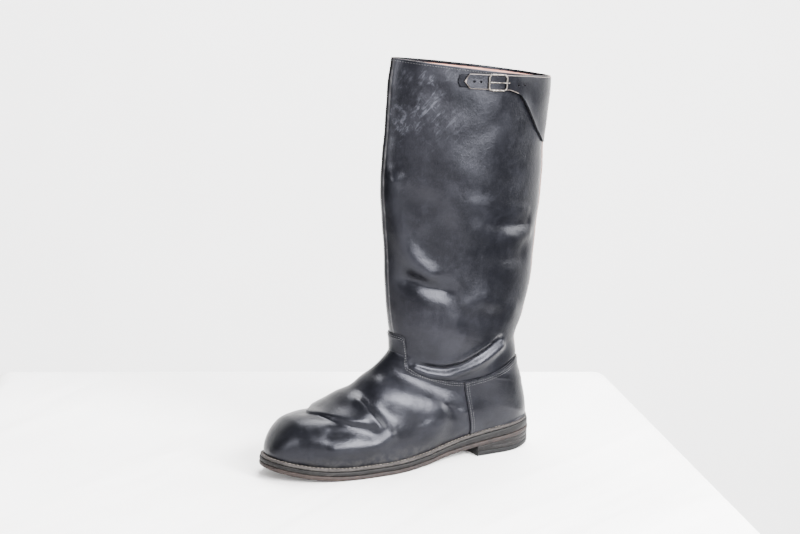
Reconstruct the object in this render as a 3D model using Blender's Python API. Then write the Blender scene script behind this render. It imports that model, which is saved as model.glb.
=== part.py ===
"""Officer boot, left foot: a riding boot with a vamp, an outside counter and a tall strapped shaft.

Lengths in the tables are millimetres. +Z is up, the toe points to -Y, the outer side of the foot is +X.
"""
import math

import bmesh
import bpy
import numpy as np
from mathutils import Vector

MM = 0.001
GAP = 0.3
FEATHER_GAP = 0.6

# Sole outline: half-widths along the foot, rounded off at both ends
TOE_Y, HEEL_Y = -166.5, 139.5
TOE_CAP_FROM, TOE_CAP_POWER = -104.0, 2.15
HEEL_CAP_FROM, HEEL_CAP_POWER = 92.0, 2.2
SOLE_STATIONS = (
    # name, y, lateral, medial
    ("toe", TOE_Y, 37.0, 45.0),
    ("toe_root", -116.0, 46.0, 48.5),
    ("ball_inner", -80.0, 51.0, 50.0),
    ("ball_outer", -48.0, 52.0, 45.5),
    ("shank", 6.0, 42.0, 31.5),
    ("waist", 46.0, 36.5, 28.5),
    ("seat", 90.0, 34.5, 32.5),
    ("heel", HEEL_Y, 34.0, 33.0),
)

# Underside of the outsole: toe spring, tread, arch and heel seat
SPRING_FROM, SPRING_RISE = -73.5, 11.6
SOLE_UNDERSIDE = (
    # name, y, height
    ("tread_front", SPRING_FROM, 0.0),
    ("tread_back", -28.0, 0.0),
    ("arch_start", 0.0, 1.7),
    ("arch", 23.0, 5.8),
    ("arch_top", 47.0, 9.0),
    ("breast", 64.5, 10.8),
    ("heel", HEEL_Y, 17.5),
)
OUTSOLE_THICK, WELT_THICK, INSOLE_THICK = 4.6, 3.0, 2.4
MIDSOLE_STATIONS = (
    # name, y, thickness
    ("fore", -40.0, 4.3),
    ("waist", 15.0, 4.5),
    ("breast", 64.0, 6.6),
    ("heel", HEEL_Y, 7.8),
)
WELT_WIDTH, WELT_SET_BACK, MIDSOLE_SET_BACK = 14.0, 1.4, 0.4
BREAST_Y, TOP_PIECE_THICK, HEEL_SET_BACK = 64.5, 5.0, 0.6
WEAR_FROM, WEAR_RISE = 100.0, 5.0

# Ledge of the sole outside the upper
LEDGE_STATIONS = (
    # name, y, ledge
    ("toe", TOE_Y, 5.2),
    ("ball", -60.0, 5.0),
    ("waist", 40.0, 4.0),
    ("heel", HEEL_Y, 3.6),
)

# Leather layers, measured outwards from the inner face of the shaft
SHAFT_IN, SHAFT_OUT = 0.0, 2.0
UPPER_IN, UPPER_OUT = 2.5, 4.3
COUNTER_IN, COUNTER_OUT = 4.85, 6.0
STRIP_IN, STRIP_OUT = 2.6, 3.7
CHAPE_IN, CHAPE_OUT = 2.3, 3.9
STRAP_LOW, STRAP_HIGH, STRAP_THICK = 2.3, 4.3, 1.8
STRAP_RISE_FROM, STRAP_RISE_TO = 128.0, 100.0

# Sections of leg and heel: each runs from the front line to the back line
LEG_SECTIONS = (
    # name, front_y, front_z, back_y, back_z, lateral, medial, widest, nose, tail
    ("collar", -17.5, 423.5, 162.8, 394.5, 38.0, 36.0, 0.60, 1.65, 1.70),
    ("top_band", -21.2, 398.6, 161.0, 373.0, 38.5, 36.5, 0.59, 1.65, 1.70),
    ("calf_upper", -25.6, 345.0, 155.0, 326.0, 40.0, 38.0, 0.57, 1.65, 1.70),
    ("calf", -29.0, 300.0, 153.2, 286.0, 41.0, 39.5, 0.55, 1.65, 1.70),
    ("calf_lower", -26.6, 240.0, 146.2, 230.0, 41.5, 39.5, 0.54, 1.70, 1.70),
    ("shin", -24.0, 185.0, 140.8, 180.0, 41.0, 39.0, 0.53, 1.75, 1.75),
    ("ankle_top", -19.5, 150.0, 132.0, 144.0, 39.0, 37.5, 0.53, 1.80, 1.80),
    ("ankle", -15.8, 130.0, 120.8, 114.0, 37.0, 35.5, 0.54, 1.85, 1.85),
    ("throat", -16.6, 117.0, 121.2, 93.0, 35.0, 33.5, 0.56, 1.90, 1.90),
    ("heel_high", -21.0, 111.0, 126.4, 70.0, 33.0, 31.5, 0.60, 1.95, 2.05),
    ("heel_mid", -27.0, 106.0, 130.2, 50.0, 31.5, 30.5, 0.62, 2.00, 2.15),
)
# Sections of the foot: each runs from the top line down to the feather line
FOOT_SECTIONS = (
    # name, top_y, top_z, feather_y, lateral, medial, widest, nose, tail
    ("heel_seat", -33.0, 101.5, 131.0, 31.0, 30.0, 0.64, 2.00, 2.20),
    ("heel_front", -42.0, 94.0, 96.0, 32.0, 30.5, 0.66, 2.05, 2.20),
    ("waist", -52.0, 88.0, 55.0, 34.5, 30.0, 0.68, 2.05, 2.10),
    ("instep", -64.0, 81.5, 14.0, 38.5, 31.5, 0.70, 2.10, 2.00),
    ("joint", -77.0, 77.0, -26.0, 42.5, 36.5, 0.70, 2.15, 2.00),
    ("ball", -90.0, 69.0, -60.0, 44.3, 41.5, 0.70, 2.20, 2.00),
    ("flex", -104.0, 62.0, -88.0, 42.6, 42.3, 0.68, 2.20, 2.00),
    ("toe_root", -117.0, 59.8, -112.0, 38.2, 40.6, 0.66, 2.20, 2.00),
    ("toe_box", -128.0, 58.0, -128.0, 33.0, 36.6, 0.66, 2.20, 2.00),
)
TOE_ROWS, TOE_POWER = 7, 1.55
AXIS_FROM = -60.0
SEAT_ROWS = 6
FRONT_COLUMNS, BACK_COLUMNS = 8, 8

# Seam between shaft and foot, seen from the side; the front rises into the tongue tab
FOOT_SEAM = (
    # name, y, z
    ("tab_top", -45.0, 140.0),
    ("tab_side", -15.5, 136.5),
    ("tab_corner", -12.0, 133.5),
    ("tab_foot", -11.0, 104.0),
    ("quarter", -1.0, 96.5),
    ("front", 11.6, 91.0),
    ("dip_front", 33.0, 85.5),
    ("dip", 47.0, 83.6),
    ("dip_back", 70.0, 86.5),
    ("rear", 102.0, 94.0),
    ("back", 125.0, 99.5),
    ("end", 160.0, 106.0),
)
# Lower edge of the shaft, hidden under the foot
SHAFT_TAIL = (
    # name, y, z
    ("front", -45.0, 116.0),
    ("front_side", -19.0, 114.0),
    ("tab_side", -11.0, 95.0),
    ("quarter", 0.0, 86.0),
    ("dip_front", 20.0, 77.0),
    ("dip", 47.0, 73.0),
    ("rear", 102.0, 82.0),
    ("back", 160.0, 92.0),
)
SIDE_SEAM_TOP, SIDE_SEAM_FOOT = (46.4, 90.0), (57.5, 15.0)

# Rear panel and strap, seen from the side
STRAP_BACK_X = 3.2
STRAP_OUTLINE = (
    # name, y, z
    ("tip", 44.0, 400.0),
    ("tip_top", 50.0, 407.4),
    ("strap_top", 94.0, 403.6),
    ("panel_top", 120.0, 400.5),
    ("panel_back_top", 175.0, 391.5),
    ("panel_back_foot", 175.0, 318.0),
    ("slit_foot", 151.0, 327.5),
    ("slit_low", 138.0, 341.0),
    ("slit_mid", 125.8, 358.5),
    ("slit_high", 115.0, 375.0),
    ("slit_top", 109.5, 381.5),
    ("strap_root", 103.0, 385.0),
    ("strap_foot", 94.0, 388.2),
    ("tip_foot", 50.0, 392.2),
)
STRAP_HOLES = ((54.0, 0.0), (61.5, 0.0), (104.0, -2.8), (113.0, -2.8))
STRAP_AXIS_Y, STRAP_AXIS_Z, STRAP_FALL = 44.0, 400.0, -0.083
STRAP_HOLE_RADIUS = 1.1

# Chape and buckle
CHAPE_OUTLINE = (
    # name, y, z
    ("front_low", 40.5, 394.0),
    ("front", 38.0, 400.2),
    ("front_high", 41.0, 407.0),
    ("back_high", 88.0, 402.6),
    ("back_low", 88.0, 389.6),
)
BUCKLE_Y, BUCKLE_LENGTH, BUCKLE_HEIGHT = 79.3, 21.5, 17.6
BUCKLE_WIRE, BUCKLE_CORNER, BUCKLE_CLEAR = 1.0, 3.6, 0.55
PRONG_RADIUS, PRONG_CLEAR = 0.75, 0.35
OUTLINE_STEPS = 34


# Smooth reading of a short table
def smooth(knots, values, at):
    """Cubic through one column of a table, without overshoot."""
    knots = np.asarray(knots, float)
    values = np.asarray(values, float)
    at = np.asarray(at, float)
    step = np.diff(knots)
    slope = np.diff(values) / step
    tangent = np.zeros_like(values)
    tangent[0], tangent[-1] = slope[0], slope[-1]
    product = slope[:-1] * slope[1:]
    total = np.where(product > 0, slope[:-1] + slope[1:], 1.0)
    tangent[1:-1] = np.where(product > 0, 2 * product / total, 0.0)
    span = np.clip(np.searchsorted(knots, at) - 1, 0, len(step) - 1)
    t = np.clip((at - knots[span]) / step[span], 0.0, 1.0)
    hermite_from = (1 + 2 * t) * (1 - t) ** 2
    hermite_to = t * t * (3 - 2 * t)
    lean_from = t * (1 - t) ** 2 * step[span]
    lean_to = t * t * (t - 1) * step[span]
    return (hermite_from * values[span] + hermite_to * values[span + 1]
            + lean_from * tangent[span] + lean_to * tangent[span + 1])


def column(table, index):
    return np.array([row[index] for row in table], float)


def along(table, index, y):
    return smooth(column(table, 1), column(table, index), y)


def ease(value):
    value = np.clip(value, 0.0, 1.0)
    return value * value * (3 - 2 * value)


# Sole outline and heights
def sole_loop(inset=0.0, front=TOE_Y, steps=OUTLINE_STEPS):
    """Lateral and medial chains (x, y) from front to heel, moved inwards by inset."""
    middle, half = (front + HEEL_Y) / 2, (HEEL_Y - front) / 2
    turn = np.linspace(0.0, math.pi, steps + 1)
    if front > TOE_Y:
        y = front + (HEEL_Y - front) * np.sin(turn / 2)
    else:
        y = middle - half * np.cos(turn)
    toe = np.clip((TOE_CAP_FROM - y) / (TOE_CAP_FROM - TOE_Y), 0, 1)
    heel = np.clip((y - HEEL_CAP_FROM) / (HEEL_Y - HEEL_CAP_FROM), 0, 1)
    cap = (1 - toe ** TOE_CAP_POWER) ** (1 / TOE_CAP_POWER) * (1 - heel ** HEEL_CAP_POWER) ** (1 / HEEL_CAP_POWER)
    lateral = np.column_stack([along(SOLE_STATIONS, 2, y), y])
    medial = np.column_stack([-along(SOLE_STATIONS, 3, y), y])
    centre = (lateral[:, 0] + medial[:, 0]) / 2
    lateral[:, 0] = centre + (lateral[:, 0] - centre) * cap
    medial[:, 0] = centre + (medial[:, 0] - centre) * cap
    loop = np.vstack([lateral, medial[-2::-1]])
    if front <= TOE_Y:
        loop = loop[:-1]
    tangent = np.roll(loop, -1, axis=0) - np.roll(loop, 1, axis=0)
    normal = np.column_stack([tangent[:, 1], -tangent[:, 0]])
    normal /= np.linalg.norm(normal, axis=1)[:, None]
    if front > TOE_Y:
        normal[0], normal[-1] = (1, 0), (-1, 0)
    amount = inset(loop[:, 1]) if callable(inset) else np.full(len(loop), inset)
    loop = loop - normal * amount[:, None]
    lateral = loop[:steps + 1]
    medial = np.vstack([loop[steps:], loop[:1]])[::-1] if front <= TOE_Y else loop[steps:][::-1]
    return lateral, medial


def underside(y):
    y = np.asarray(y, float)
    spring = np.clip((SPRING_FROM - y) / (SPRING_FROM - TOE_Y), 0, None)
    return along(SOLE_UNDERSIDE, 2, y) + SPRING_RISE * spring ** 2


def midsole_thick(y):
    return along(MIDSOLE_STATIONS, 2, y)


def welt_base(y):
    return underside(y) + OUTSOLE_THICK + midsole_thick(y) + 2 * GAP


def feather_height(y):
    """Top of the welt, where the upper stands."""
    return welt_base(y) + WELT_THICK + FEATHER_GAP


def heel_wear(y):
    return WEAR_RISE * np.clip((np.asarray(y, float) - WEAR_FROM) / (HEEL_Y - WEAR_FROM), 0, None) ** 2


# The form of leg and foot
def feather_chain(offset):
    def inset(y):
        return along(LEDGE_STATIONS, 2, y) + UPPER_OUT - offset
    return sole_loop(inset, steps=120)


class Form:
    """Leg and foot, grown outwards by an offset; rows run from collar to toe, columns from front to back."""

    def __init__(self, offset):
        self.offset = offset
        lateral, medial = feather_chain(offset)
        base_lateral, base_medial = feather_chain(0.0)
        self.feather = (lateral, medial)
        self.base = (base_lateral, base_medial)
        self.tip, self.back = lateral[0, 1], lateral[-1, 1]
        base_tip, base_back = base_lateral[0, 1], base_lateral[-1, 1]
        rows = [list(row[1:]) + [False] for row in LEG_SECTIONS]
        for row in FOOT_SECTIONS:
            rows.append([row[1], row[2], row[3], feather_height(row[3])] + list(row[4:]) + [True])
        rows[len(LEG_SECTIONS)][2] = base_back
        rows[len(LEG_SECTIONS)][3] = feather_height(base_back)
        box = rows[-1]
        bulge = [box[4] - np.interp(box[2], base_lateral[:, 1], base_lateral[:, 0]),
                 box[5] + np.interp(box[2], base_medial[:, 1], base_medial[:, 0])]
        for turn in np.linspace(0, math.pi / 2, TOE_ROWS + 1)[1:]:
            y = box[0] - (box[0] - base_tip) * math.sin(turn)
            reach = (box[0] - y) / (box[0] - base_tip)
            rise = max(1 - reach ** TOE_POWER, 0) ** (1 / TOE_POWER)
            sole = feather_height(y)
            wide = np.interp(y, base_lateral[:, 1], base_lateral[:, 0]) + bulge[0] * rise
            deep = -np.interp(y, base_medial[:, 1], base_medial[:, 0]) + bulge[1] * rise
            rows.append([y, sole + (box[1] - feather_height(box[0])) * rise, y, sole, wide, deep] + box[6:])
        self.rows = rows
        self.seat = len(LEG_SECTIONS)
        self.last = len(rows) - 1
        self.box = self.last - TOE_ROWS
        table = np.array([row[:9] for row in rows], float)
        self.table = table
        front, back = table[:, 0:2], table[:, 2:4]
        travel = (np.linalg.norm(np.diff(front, axis=0), axis=1) + np.linalg.norm(np.diff(back, axis=0), axis=1)) / 2
        self.knots = np.concatenate([[0], np.cumsum(travel)])
        self.map_feather = lambda y: self.back + (y - base_back) * (self.back - self.tip) / (base_back - base_tip)

    def feather_half(self, y, side):
        chain = self.feather[0] if side > 0 else self.feather[1]
        return side * np.interp(y, chain[:, 1], chain[:, 0])

    def base_half(self, y, side):
        chain = self.base[0] if side > 0 else self.base[1]
        return side * np.interp(y, chain[:, 1], chain[:, 0])

    def station(self, index):
        """Distance along the form for a row index, whole or between rows."""
        return np.interp(index, np.arange(len(self.knots)), self.knots)

    def columns_at(self, s):
        """Values of every column at stations; the back line turns a corner at the heel seat."""
        seat = self.knots[self.seat]
        values = [smooth(self.knots, self.table[:, k], s) for k in range(9)]
        for k in (2, 3):
            leg = smooth(self.knots[:self.seat + 1], self.table[:self.seat + 1, k], np.minimum(s, seat))
            foot = smooth(self.knots[self.seat:], self.table[self.seat:, k], np.maximum(s, seat))
            values[k] = np.where(s <= seat, leg, foot)
        return values

    def points(self, s, column_share, side):
        """Points for arrays of stations and column shares (0 front, 1 back or feather)."""
        s = np.asarray(s, float)
        share = np.asarray(column_share, float)
        nudge = 0.05
        seat = self.knots[self.seat]
        fy, fz, by, bz, lateral, medial, widest, nose, tail = self.columns_at(s)
        ahead, behind = self.columns_at(s + nudge), self.columns_at(s - nudge)
        ty, tz = ahead[0] - behind[0], ahead[1] - behind[1]
        size = np.hypot(ty, tz) + 1e-9
        fy, fz = fy + self.offset * tz / size, fz - self.offset * ty / size
        low = np.minimum(s, seat)
        ahead = self.columns_at(np.minimum(low + nudge, seat))
        behind = self.columns_at(low - nudge)
        ty, tz = ahead[2] - behind[2], ahead[3] - behind[3]
        size = np.hypot(ty, tz) + 1e-9
        on_leg = s <= seat
        leg_y, leg_z = by - self.offset * tz / size, bz + self.offset * ty / size
        near_seat = np.clip((s - self.knots[self.seat - 1]) / (seat - self.knots[self.seat - 1]), 0, 1)
        leg_z = leg_z * (1 - near_seat) + bz * near_seat
        leg_y = leg_y * (1 - near_seat) + (by + self.back - self.rows[self.seat][2]) * near_seat
        base_y, foot_y = by, self.map_feather(by)
        by, bz = np.where(on_leg, leg_y, foot_y), np.where(on_leg, leg_z, feather_height(foot_y))
        at_tip = s >= self.knots[self.last] - 1e-6
        fy, fz = np.where(at_tip, by, fy), np.where(at_tip, bz, fz)
        axis = np.interp(by, self.feather[0][:, 1], (self.feather[0][:, 0] + self.feather[1][:, 0]) / 2)
        axis = axis * ease((AXIS_FROM - by) / (AXIS_FROM - self.tip)) * np.where(on_leg, 0.0, 1.0)
        feather = self.feather_half(by, side) - side * axis
        wide = (lateral if side > 0 else medial) + self.offset
        bulge = (lateral if side > 0 else medial) - self.base_half(base_y, side)
        toe_share = np.clip((s - self.knots[self.box]) / (self.knots[self.box + 2] - self.knots[self.box]), 0, 1)
        wide = wide * (1 - toe_share) + (self.feather_half(by, side) + bulge) * toe_share - side * axis
        wide = np.where(at_tip, 0.0, wide)
        end = np.where(on_leg, 0.0, np.clip(feather / np.maximum(wide, 1e-6), 0.0, 0.995))
        end_angle = np.arccos(end ** (tail / 2))
        upper = np.clip(share / 0.5, 0, 1) * math.pi / 2
        lower = np.clip((share - 0.5) / 0.5, 0, 1) * end_angle
        reach = widest * (1 - np.cos(upper) ** (2 / nose))
        below = (1 - widest) * (np.sin(lower) / np.maximum(np.sin(end_angle), 1e-6)) ** (2 / tail)
        place = np.where(share <= 0.5, reach, widest + below)
        x_upper = wide * np.sin(upper) ** (2 / nose)
        x_lower = wide * np.cos(lower) ** (2 / tail)
        x = np.where(share <= 0.5, x_upper, x_lower)
        y, z = fy + (by - fy) * place, fz + (bz - fz) * place
        return np.stack([axis + side * x, y, z], axis=-1)


FORMS = {}


def form(offset):
    key = round(offset, 3)
    if key not in FORMS:
        FORMS[key] = Form(offset)
    return FORMS[key]


SHARES = np.linspace(0, 1, FRONT_COLUMNS + BACK_COLUMNS + 1)


def seam_height(y):
    return np.interp(y, column(FOOT_SEAM, 1), column(FOOT_SEAM, 2))


def tail_height(y):
    return np.interp(y, column(SHAFT_TAIL, 1), column(SHAFT_TAIL, 2))


def cross_station(shape, height, share, side):
    """First station on a column where the form drops to a height given over y."""
    s = np.linspace(0, shape.knots[shape.seat], 900)
    path = shape.points(s, np.full(len(s), share), side)
    over = path[:, 2] - height(path[:, 1])
    first = int(np.argmax(over <= 0))
    before, after = over[first - 1], over[first]
    return s[first - 1] + (s[first] - s[first - 1]) * before / (before - after)


# Meshes
def remove_old():
    for old in list(bpy.data.objects):
        bpy.data.objects.remove(old, do_unlink=True)


def finish_mesh(name, bm):
    bmesh.ops.remove_doubles(bm, verts=bm.verts, dist=1e-6)
    bmesh.ops.dissolve_degenerate(bm, edges=bm.edges, dist=1e-7)
    bmesh.ops.recalc_face_normals(bm, faces=bm.faces)
    if bm.calc_volume(signed=True) < 0:
        bmesh.ops.reverse_faces(bm, faces=bm.faces)
    mesh = bpy.data.meshes.new(name)
    bm.to_mesh(mesh)
    bm.free()
    obj = bpy.data.objects.new(name, mesh)
    bpy.context.scene.collection.objects.link(obj)
    return obj


def wall(name, low, high, stations):
    """Closed wall between two sets of points. stations(share, side) gives the rows of one column."""
    bm = bmesh.new()
    grids = {}
    seat = form(0.0).knots[form(0.0).seat]
    open_from = None
    for side in (1, -1):
        rows = np.array([stations(share, side) for share in SHARES]).T
        if side == 1:
            open_rows = np.where(rows[:, -1] > seat + 1e-6)[0]
            open_from = int(open_rows[0]) - 1 if len(open_rows) else None
        for layer, points in (("out", high), ("in", low)):
            grids[layer, side] = points(rows, np.broadcast_to(SHARES, rows.shape), side)
    count = rows.shape[0]
    verts = {}
    for key, grid in grids.items():
        for r in range(count):
            for c in range(len(SHARES)):
                verts[key + (r, c)] = bm.verts.new(Vector(grid[r, c]) * MM)

    def quad(*keys):
        bm.faces.new([verts[key] for key in keys])

    last = len(SHARES) - 1
    for side in (1, -1):
        for r in range(count - 1):
            for c in range(last):
                for layer in ("out", "in"):
                    ring = [(layer, side, r, c), (layer, side, r, c + 1),
                            (layer, side, r + 1, c + 1), (layer, side, r + 1, c)]
                    quad(*ring)
            if open_from is not None and r >= open_from:
                quad(("out", side, r, last), ("in", side, r, last), ("in", side, r + 1, last), ("out", side, r + 1, last))
        for c in range(last):
            quad(("out", side, 0, c), ("in", side, 0, c), ("in", side, 0, c + 1), ("out", side, 0, c + 1))
            if open_from is None:
                r = count - 1
                quad(("out", side, r, c), ("in", side, r, c), ("in", side, r, c + 1), ("out", side, r, c + 1))
    return finish_mesh(name, bm)


def layer_points(offset):
    return form(offset).points


def raised_points(thick):
    """Layer of the strap: close to the shaft at the back, lifted over the chape in front."""
    def points(s, share, side):
        low = form(STRAP_LOW + thick).points(s, share, side)
        high = form(STRAP_HIGH + thick).points(s, share, side)
        lift = ease((STRAP_RISE_FROM - low[..., 1]) / (STRAP_RISE_FROM - STRAP_RISE_TO))
        return low + (high - low) * lift[..., None]
    return points


def foot_stations(top):
    """Rows of the foot: from the seam to the heel seat, round the heel, and on to the toe tip."""
    shape = form(UPPER_OUT)

    def stations(share, side):
        start = top(shape, share, side)
        seat = shape.seat
        heel = shape.knots[seat]
        first = start + (heel - start) * np.linspace(0, 1, 10)
        turn = shape.station(seat + np.linspace(0, 1, SEAT_ROWS + 1)[1:] ** 2)
        body = shape.station(np.arange(seat + 2, shape.box + 1))
        toe = shape.station(np.arange(shape.box + 1, shape.last + 1))
        return np.concatenate([first, turn, body, toe])
    return stations


def seam_station(shape, share, side):
    return cross_station(shape, seam_height, share, side)


def shaft_stations(share, side):
    shape = form(SHAFT_OUT)
    stop = cross_station(shape, tail_height, share, side)
    shin = shape.station(5.6)
    return np.concatenate([np.linspace(0, shin, 10), np.linspace(shin, stop, 11)[1:]])


def top_stations(share, side):
    shape = form(STRAP_LOW)
    return np.linspace(0.0, shape.station(3.2), 11)


def strip_stations(share, side):
    shape = form(STRIP_OUT)
    stop = cross_station(shape, lambda y: seam_height(y) + 1.2, share, side)
    return 0.6 + (stop - 0.6) * np.linspace(0, 1, 30)


def rings_mesh(name, rings, closed):
    """Solid from equal rings of points; closed joins last ring to first, else both ends are capped."""
    bm = bmesh.new()
    verts = [[bm.verts.new(Vector(p) * MM) for p in ring] for ring in rings]
    count = len(verts[0])
    pairs = list(zip(verts, verts[1:] + verts[:1])) if closed else list(zip(verts, verts[1:]))
    for first, second in pairs:
        for i in range(count):
            j = (i + 1) % count
            bm.faces.new([first[i], first[j], second[j], second[i]])
    if not closed:
        for ring in (verts[0], verts[-1]):
            half = count // 2
            for i in range(half):
                a, b = ring[i], ring[i + 1]
                c, d = ring[(count - 1 - i) % count], ring[(count - i) % count]
                corners = []
                for vert in (a, b, c, d):
                    if vert not in corners:
                        corners.append(vert)
                if len(corners) > 2:
                    bm.faces.new(corners)
    return finish_mesh(name, bm)


def sole_ring(inset, height, front=TOE_Y, steps=OUTLINE_STEPS):
    lateral, medial = sole_loop(inset, front, steps)
    if front <= TOE_Y:
        loop = np.vstack([lateral, medial[-2:0:-1]])
    else:
        loop = np.vstack([lateral, medial[-2::-1]])
    return np.column_stack([loop, height(loop[:, 1])])


def slab(name, set_back, base, thick, edge, front=TOE_Y, steps=OUTLINE_STEPS):
    """Sole layer with a rounded side: edge rows give inset and share of the thickness."""
    rings = []
    for inset, share in edge:
        rings.append(sole_ring(set_back + inset, lambda y, k=share: base(y) + thick(y) * k, front, steps))
    if front > TOE_Y:
        rings = [np.vstack([ring[:steps + 1], ring[steps + 1:]]) for ring in rings]
    return rings_mesh(name, rings, closed=False)


def breast_slab(name, set_back, base, thick, edge, steps=18):
    """Heel layer: rounded behind, with a straight breast in front."""
    bm = bmesh.new()
    rings = []
    for inset, share in edge:
        lateral, medial = sole_loop(set_back + inset, BREAST_Y, steps)
        loop = np.vstack([lateral, medial[-2::-1]])
        heights = base(loop[:, 1]) + thick(loop[:, 1]) * share
        rings.append([bm.verts.new(Vector((p[0], p[1], h)) * MM) for p, h in zip(loop, heights)])
    count = len(rings[0])
    for first, second in zip(rings, rings[1:]):
        for i in range(count):
            j = (i + 1) % count
            bm.faces.new([first[i], first[j], second[j], second[i]])
    for ring in (rings[0], rings[-1]):
        for i in range(steps):
            a, b, c, d = ring[i], ring[i + 1], ring[count - 2 - i], ring[count - 1 - i]
            corners = [a, b, d] if c is b else [a, b, c, d]
            bm.faces.new(corners)
    return finish_mesh(name, bm)


def prism(name, outline, x_from, x_to):
    """Cutter: a side view outline run through in X."""
    bm = bmesh.new()
    near = [bm.verts.new(Vector((x_from, y, z)) * MM) for y, z in outline]
    far = [bm.verts.new(Vector((x_to, y, z)) * MM) for y, z in outline]
    bm.faces.new(near)
    bm.faces.new(far[::-1])
    for i in range(len(near)):
        j = (i + 1) % len(near)
        bm.faces.new([near[i], far[i], far[j], near[j]])
    return finish_mesh(name, bm)


def boolean(target, cutter, operation):
    tool = target.modifiers.new(operation.lower(), "BOOLEAN")
    tool.operation = operation
    tool.solver = "EXACT"
    tool.object = cutter
    depsgraph = bpy.context.evaluated_depsgraph_get()
    mesh = bpy.data.meshes.new_from_object(target.evaluated_get(depsgraph))
    target.modifiers.clear()
    old = target.data
    target.data = mesh
    bpy.data.meshes.remove(old)
    bpy.data.objects.remove(cutter, do_unlink=True)
    bm = bmesh.new()
    bm.from_mesh(target.data)
    bmesh.ops.triangulate(bm, faces=bm.faces)
    bmesh.ops.remove_doubles(bm, verts=bm.verts, dist=1e-6)
    bmesh.ops.dissolve_degenerate(bm, edges=bm.edges, dist=1e-7)
    bm.to_mesh(target.data)
    bm.free()


def outline_of(table):
    return [(row[1], row[2]) for row in table]


# Places on the outer side
def side_place(offset, y, z):
    """Point, outward normal and side directions on the lateral face at a given y and z."""
    shape = form(offset)

    def at(y, z):
        s = np.linspace(0, shape.station(4.0), 160)
        share = np.linspace(0.15, 0.95, 120)
        grid_s, grid_share = np.meshgrid(s, share, indexing="ij")
        grid = shape.points(grid_s, grid_share, 1)
        far = (grid[..., 1] - y) ** 2 + (grid[..., 2] - z) ** 2
        i, j = np.unravel_index(np.argmin(far), far.shape)
        best_s, best_share = s[i], share[j]
        for step in (1.0, 0.1):
            fine_s = best_s + np.linspace(-3, 3, 31) * step
            fine_share = best_share + np.linspace(-0.02, 0.02, 31) * step
            grid_s, grid_share = np.meshgrid(fine_s, fine_share, indexing="ij")
            grid = shape.points(grid_s, grid_share, 1)
            far = (grid[..., 1] - y) ** 2 + (grid[..., 2] - z) ** 2
            i, j = np.unravel_index(np.argmin(far), far.shape)
            best_s, best_share = fine_s[i], fine_share[j]
        return Vector(grid[i, j])

    point = at(y, z)
    along_y = (at(y + 4, z) - at(y - 4, z)).normalized()
    along_z = (at(y, z + 4) - at(y, z - 4)).normalized()
    normal = along_y.cross(along_z).normalized()
    if normal.x < 0:
        normal = -normal
    return point, normal


def strap_axis(y):
    return STRAP_AXIS_Z + STRAP_FALL * (y - STRAP_AXIS_Y)


def tube(name, path, radius, closed, sides=8):
    """Round rod along a path of points with a given radius at each."""
    path = [Vector(p) for p in path]
    rings = []
    count = len(path)
    for i, point in enumerate(path):
        after = path[(i + 1) % count] if closed else path[min(i + 1, count - 1)]
        before = path[i - 1] if closed else path[max(i - 1, 0)]
        run = (after - before).normalized()
        side = run.cross(Vector((1, 0, 0))).normalized()
        other = run.cross(side).normalized()
        size = radius[i] if hasattr(radius, "__len__") else radius
        turns = [2 * math.pi * k / sides for k in range(sides)]
        rings.append([point + side * (size * math.cos(t)) + other * (size * math.sin(t)) for t in turns])
    if closed:
        return rings_mesh(name, rings, closed=True)
    bm = bmesh.new()
    verts = [[bm.verts.new(p * MM) for p in ring] for ring in rings]
    for first, second in zip(verts, verts[1:]):
        for i in range(sides):
            j = (i + 1) % sides
            bm.faces.new([first[i], first[j], second[j], second[i]])
    bm.faces.new(verts[0])
    bm.faces.new(verts[-1][::-1])
    return finish_mesh(name, bm)


def buckle_pieces():
    centre_z = strap_axis(BUCKLE_Y)
    point, normal = side_place(STRAP_HIGH + STRAP_THICK, BUCKLE_Y, centre_z)
    run = Vector((0, 1, STRAP_FALL)).normalized()
    run = (run - normal * run.dot(normal)).normalized()
    rise = normal.cross(run)
    if rise.z < 0:
        rise = -rise
    seat = point + normal * (BUCKLE_WIRE + BUCKLE_CLEAR)
    half_run = BUCKLE_LENGTH / 2 - BUCKLE_WIRE
    half_rise = BUCKLE_HEIGHT / 2 - BUCKLE_WIRE
    path = []
    for sign_run, sign_rise, start in ((1, 1, 0), (-1, 1, 90), (-1, -1, 180), (1, -1, 270)):
        for k in range(5):
            turn = math.radians(start + 90 * k / 4)
            a = sign_run * (half_run - BUCKLE_CORNER) + BUCKLE_CORNER * math.cos(turn)
            b = sign_rise * (half_rise - BUCKLE_CORNER) + BUCKLE_CORNER * math.sin(turn)
            path.append(seat + run * a + rise * b)
    frame = tube("buckle_frame", path, BUCKLE_WIRE, closed=True)
    root = -half_run + BUCKLE_WIRE + PRONG_RADIUS
    prong_path = []
    for share in np.linspace(0, 1, 9):
        a = root + (half_run + 2.2 - root) * share
        over = ease((share - 0.45) / 0.4) * (2 * BUCKLE_WIRE + BUCKLE_CLEAR)
        prong_path.append(point + run * a + normal * (PRONG_RADIUS + PRONG_CLEAR + over))
    taper = [PRONG_RADIUS * (1.0 - 0.35 * share) for share in np.linspace(0, 1, 9)]
    prong = tube("buckle_prong", prong_path, taper, closed=False, sides=6)
    return frame, prong


def strap_hole_cutter(y, drop):
    centre_z = strap_axis(y) + drop
    point, normal = side_place(STRAP_HIGH, y, centre_z)
    path = [point - normal * 4.0, point + normal * 8.0]
    return tube("hole", path, STRAP_HOLE_RADIUS, closed=False, sides=10)


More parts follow.
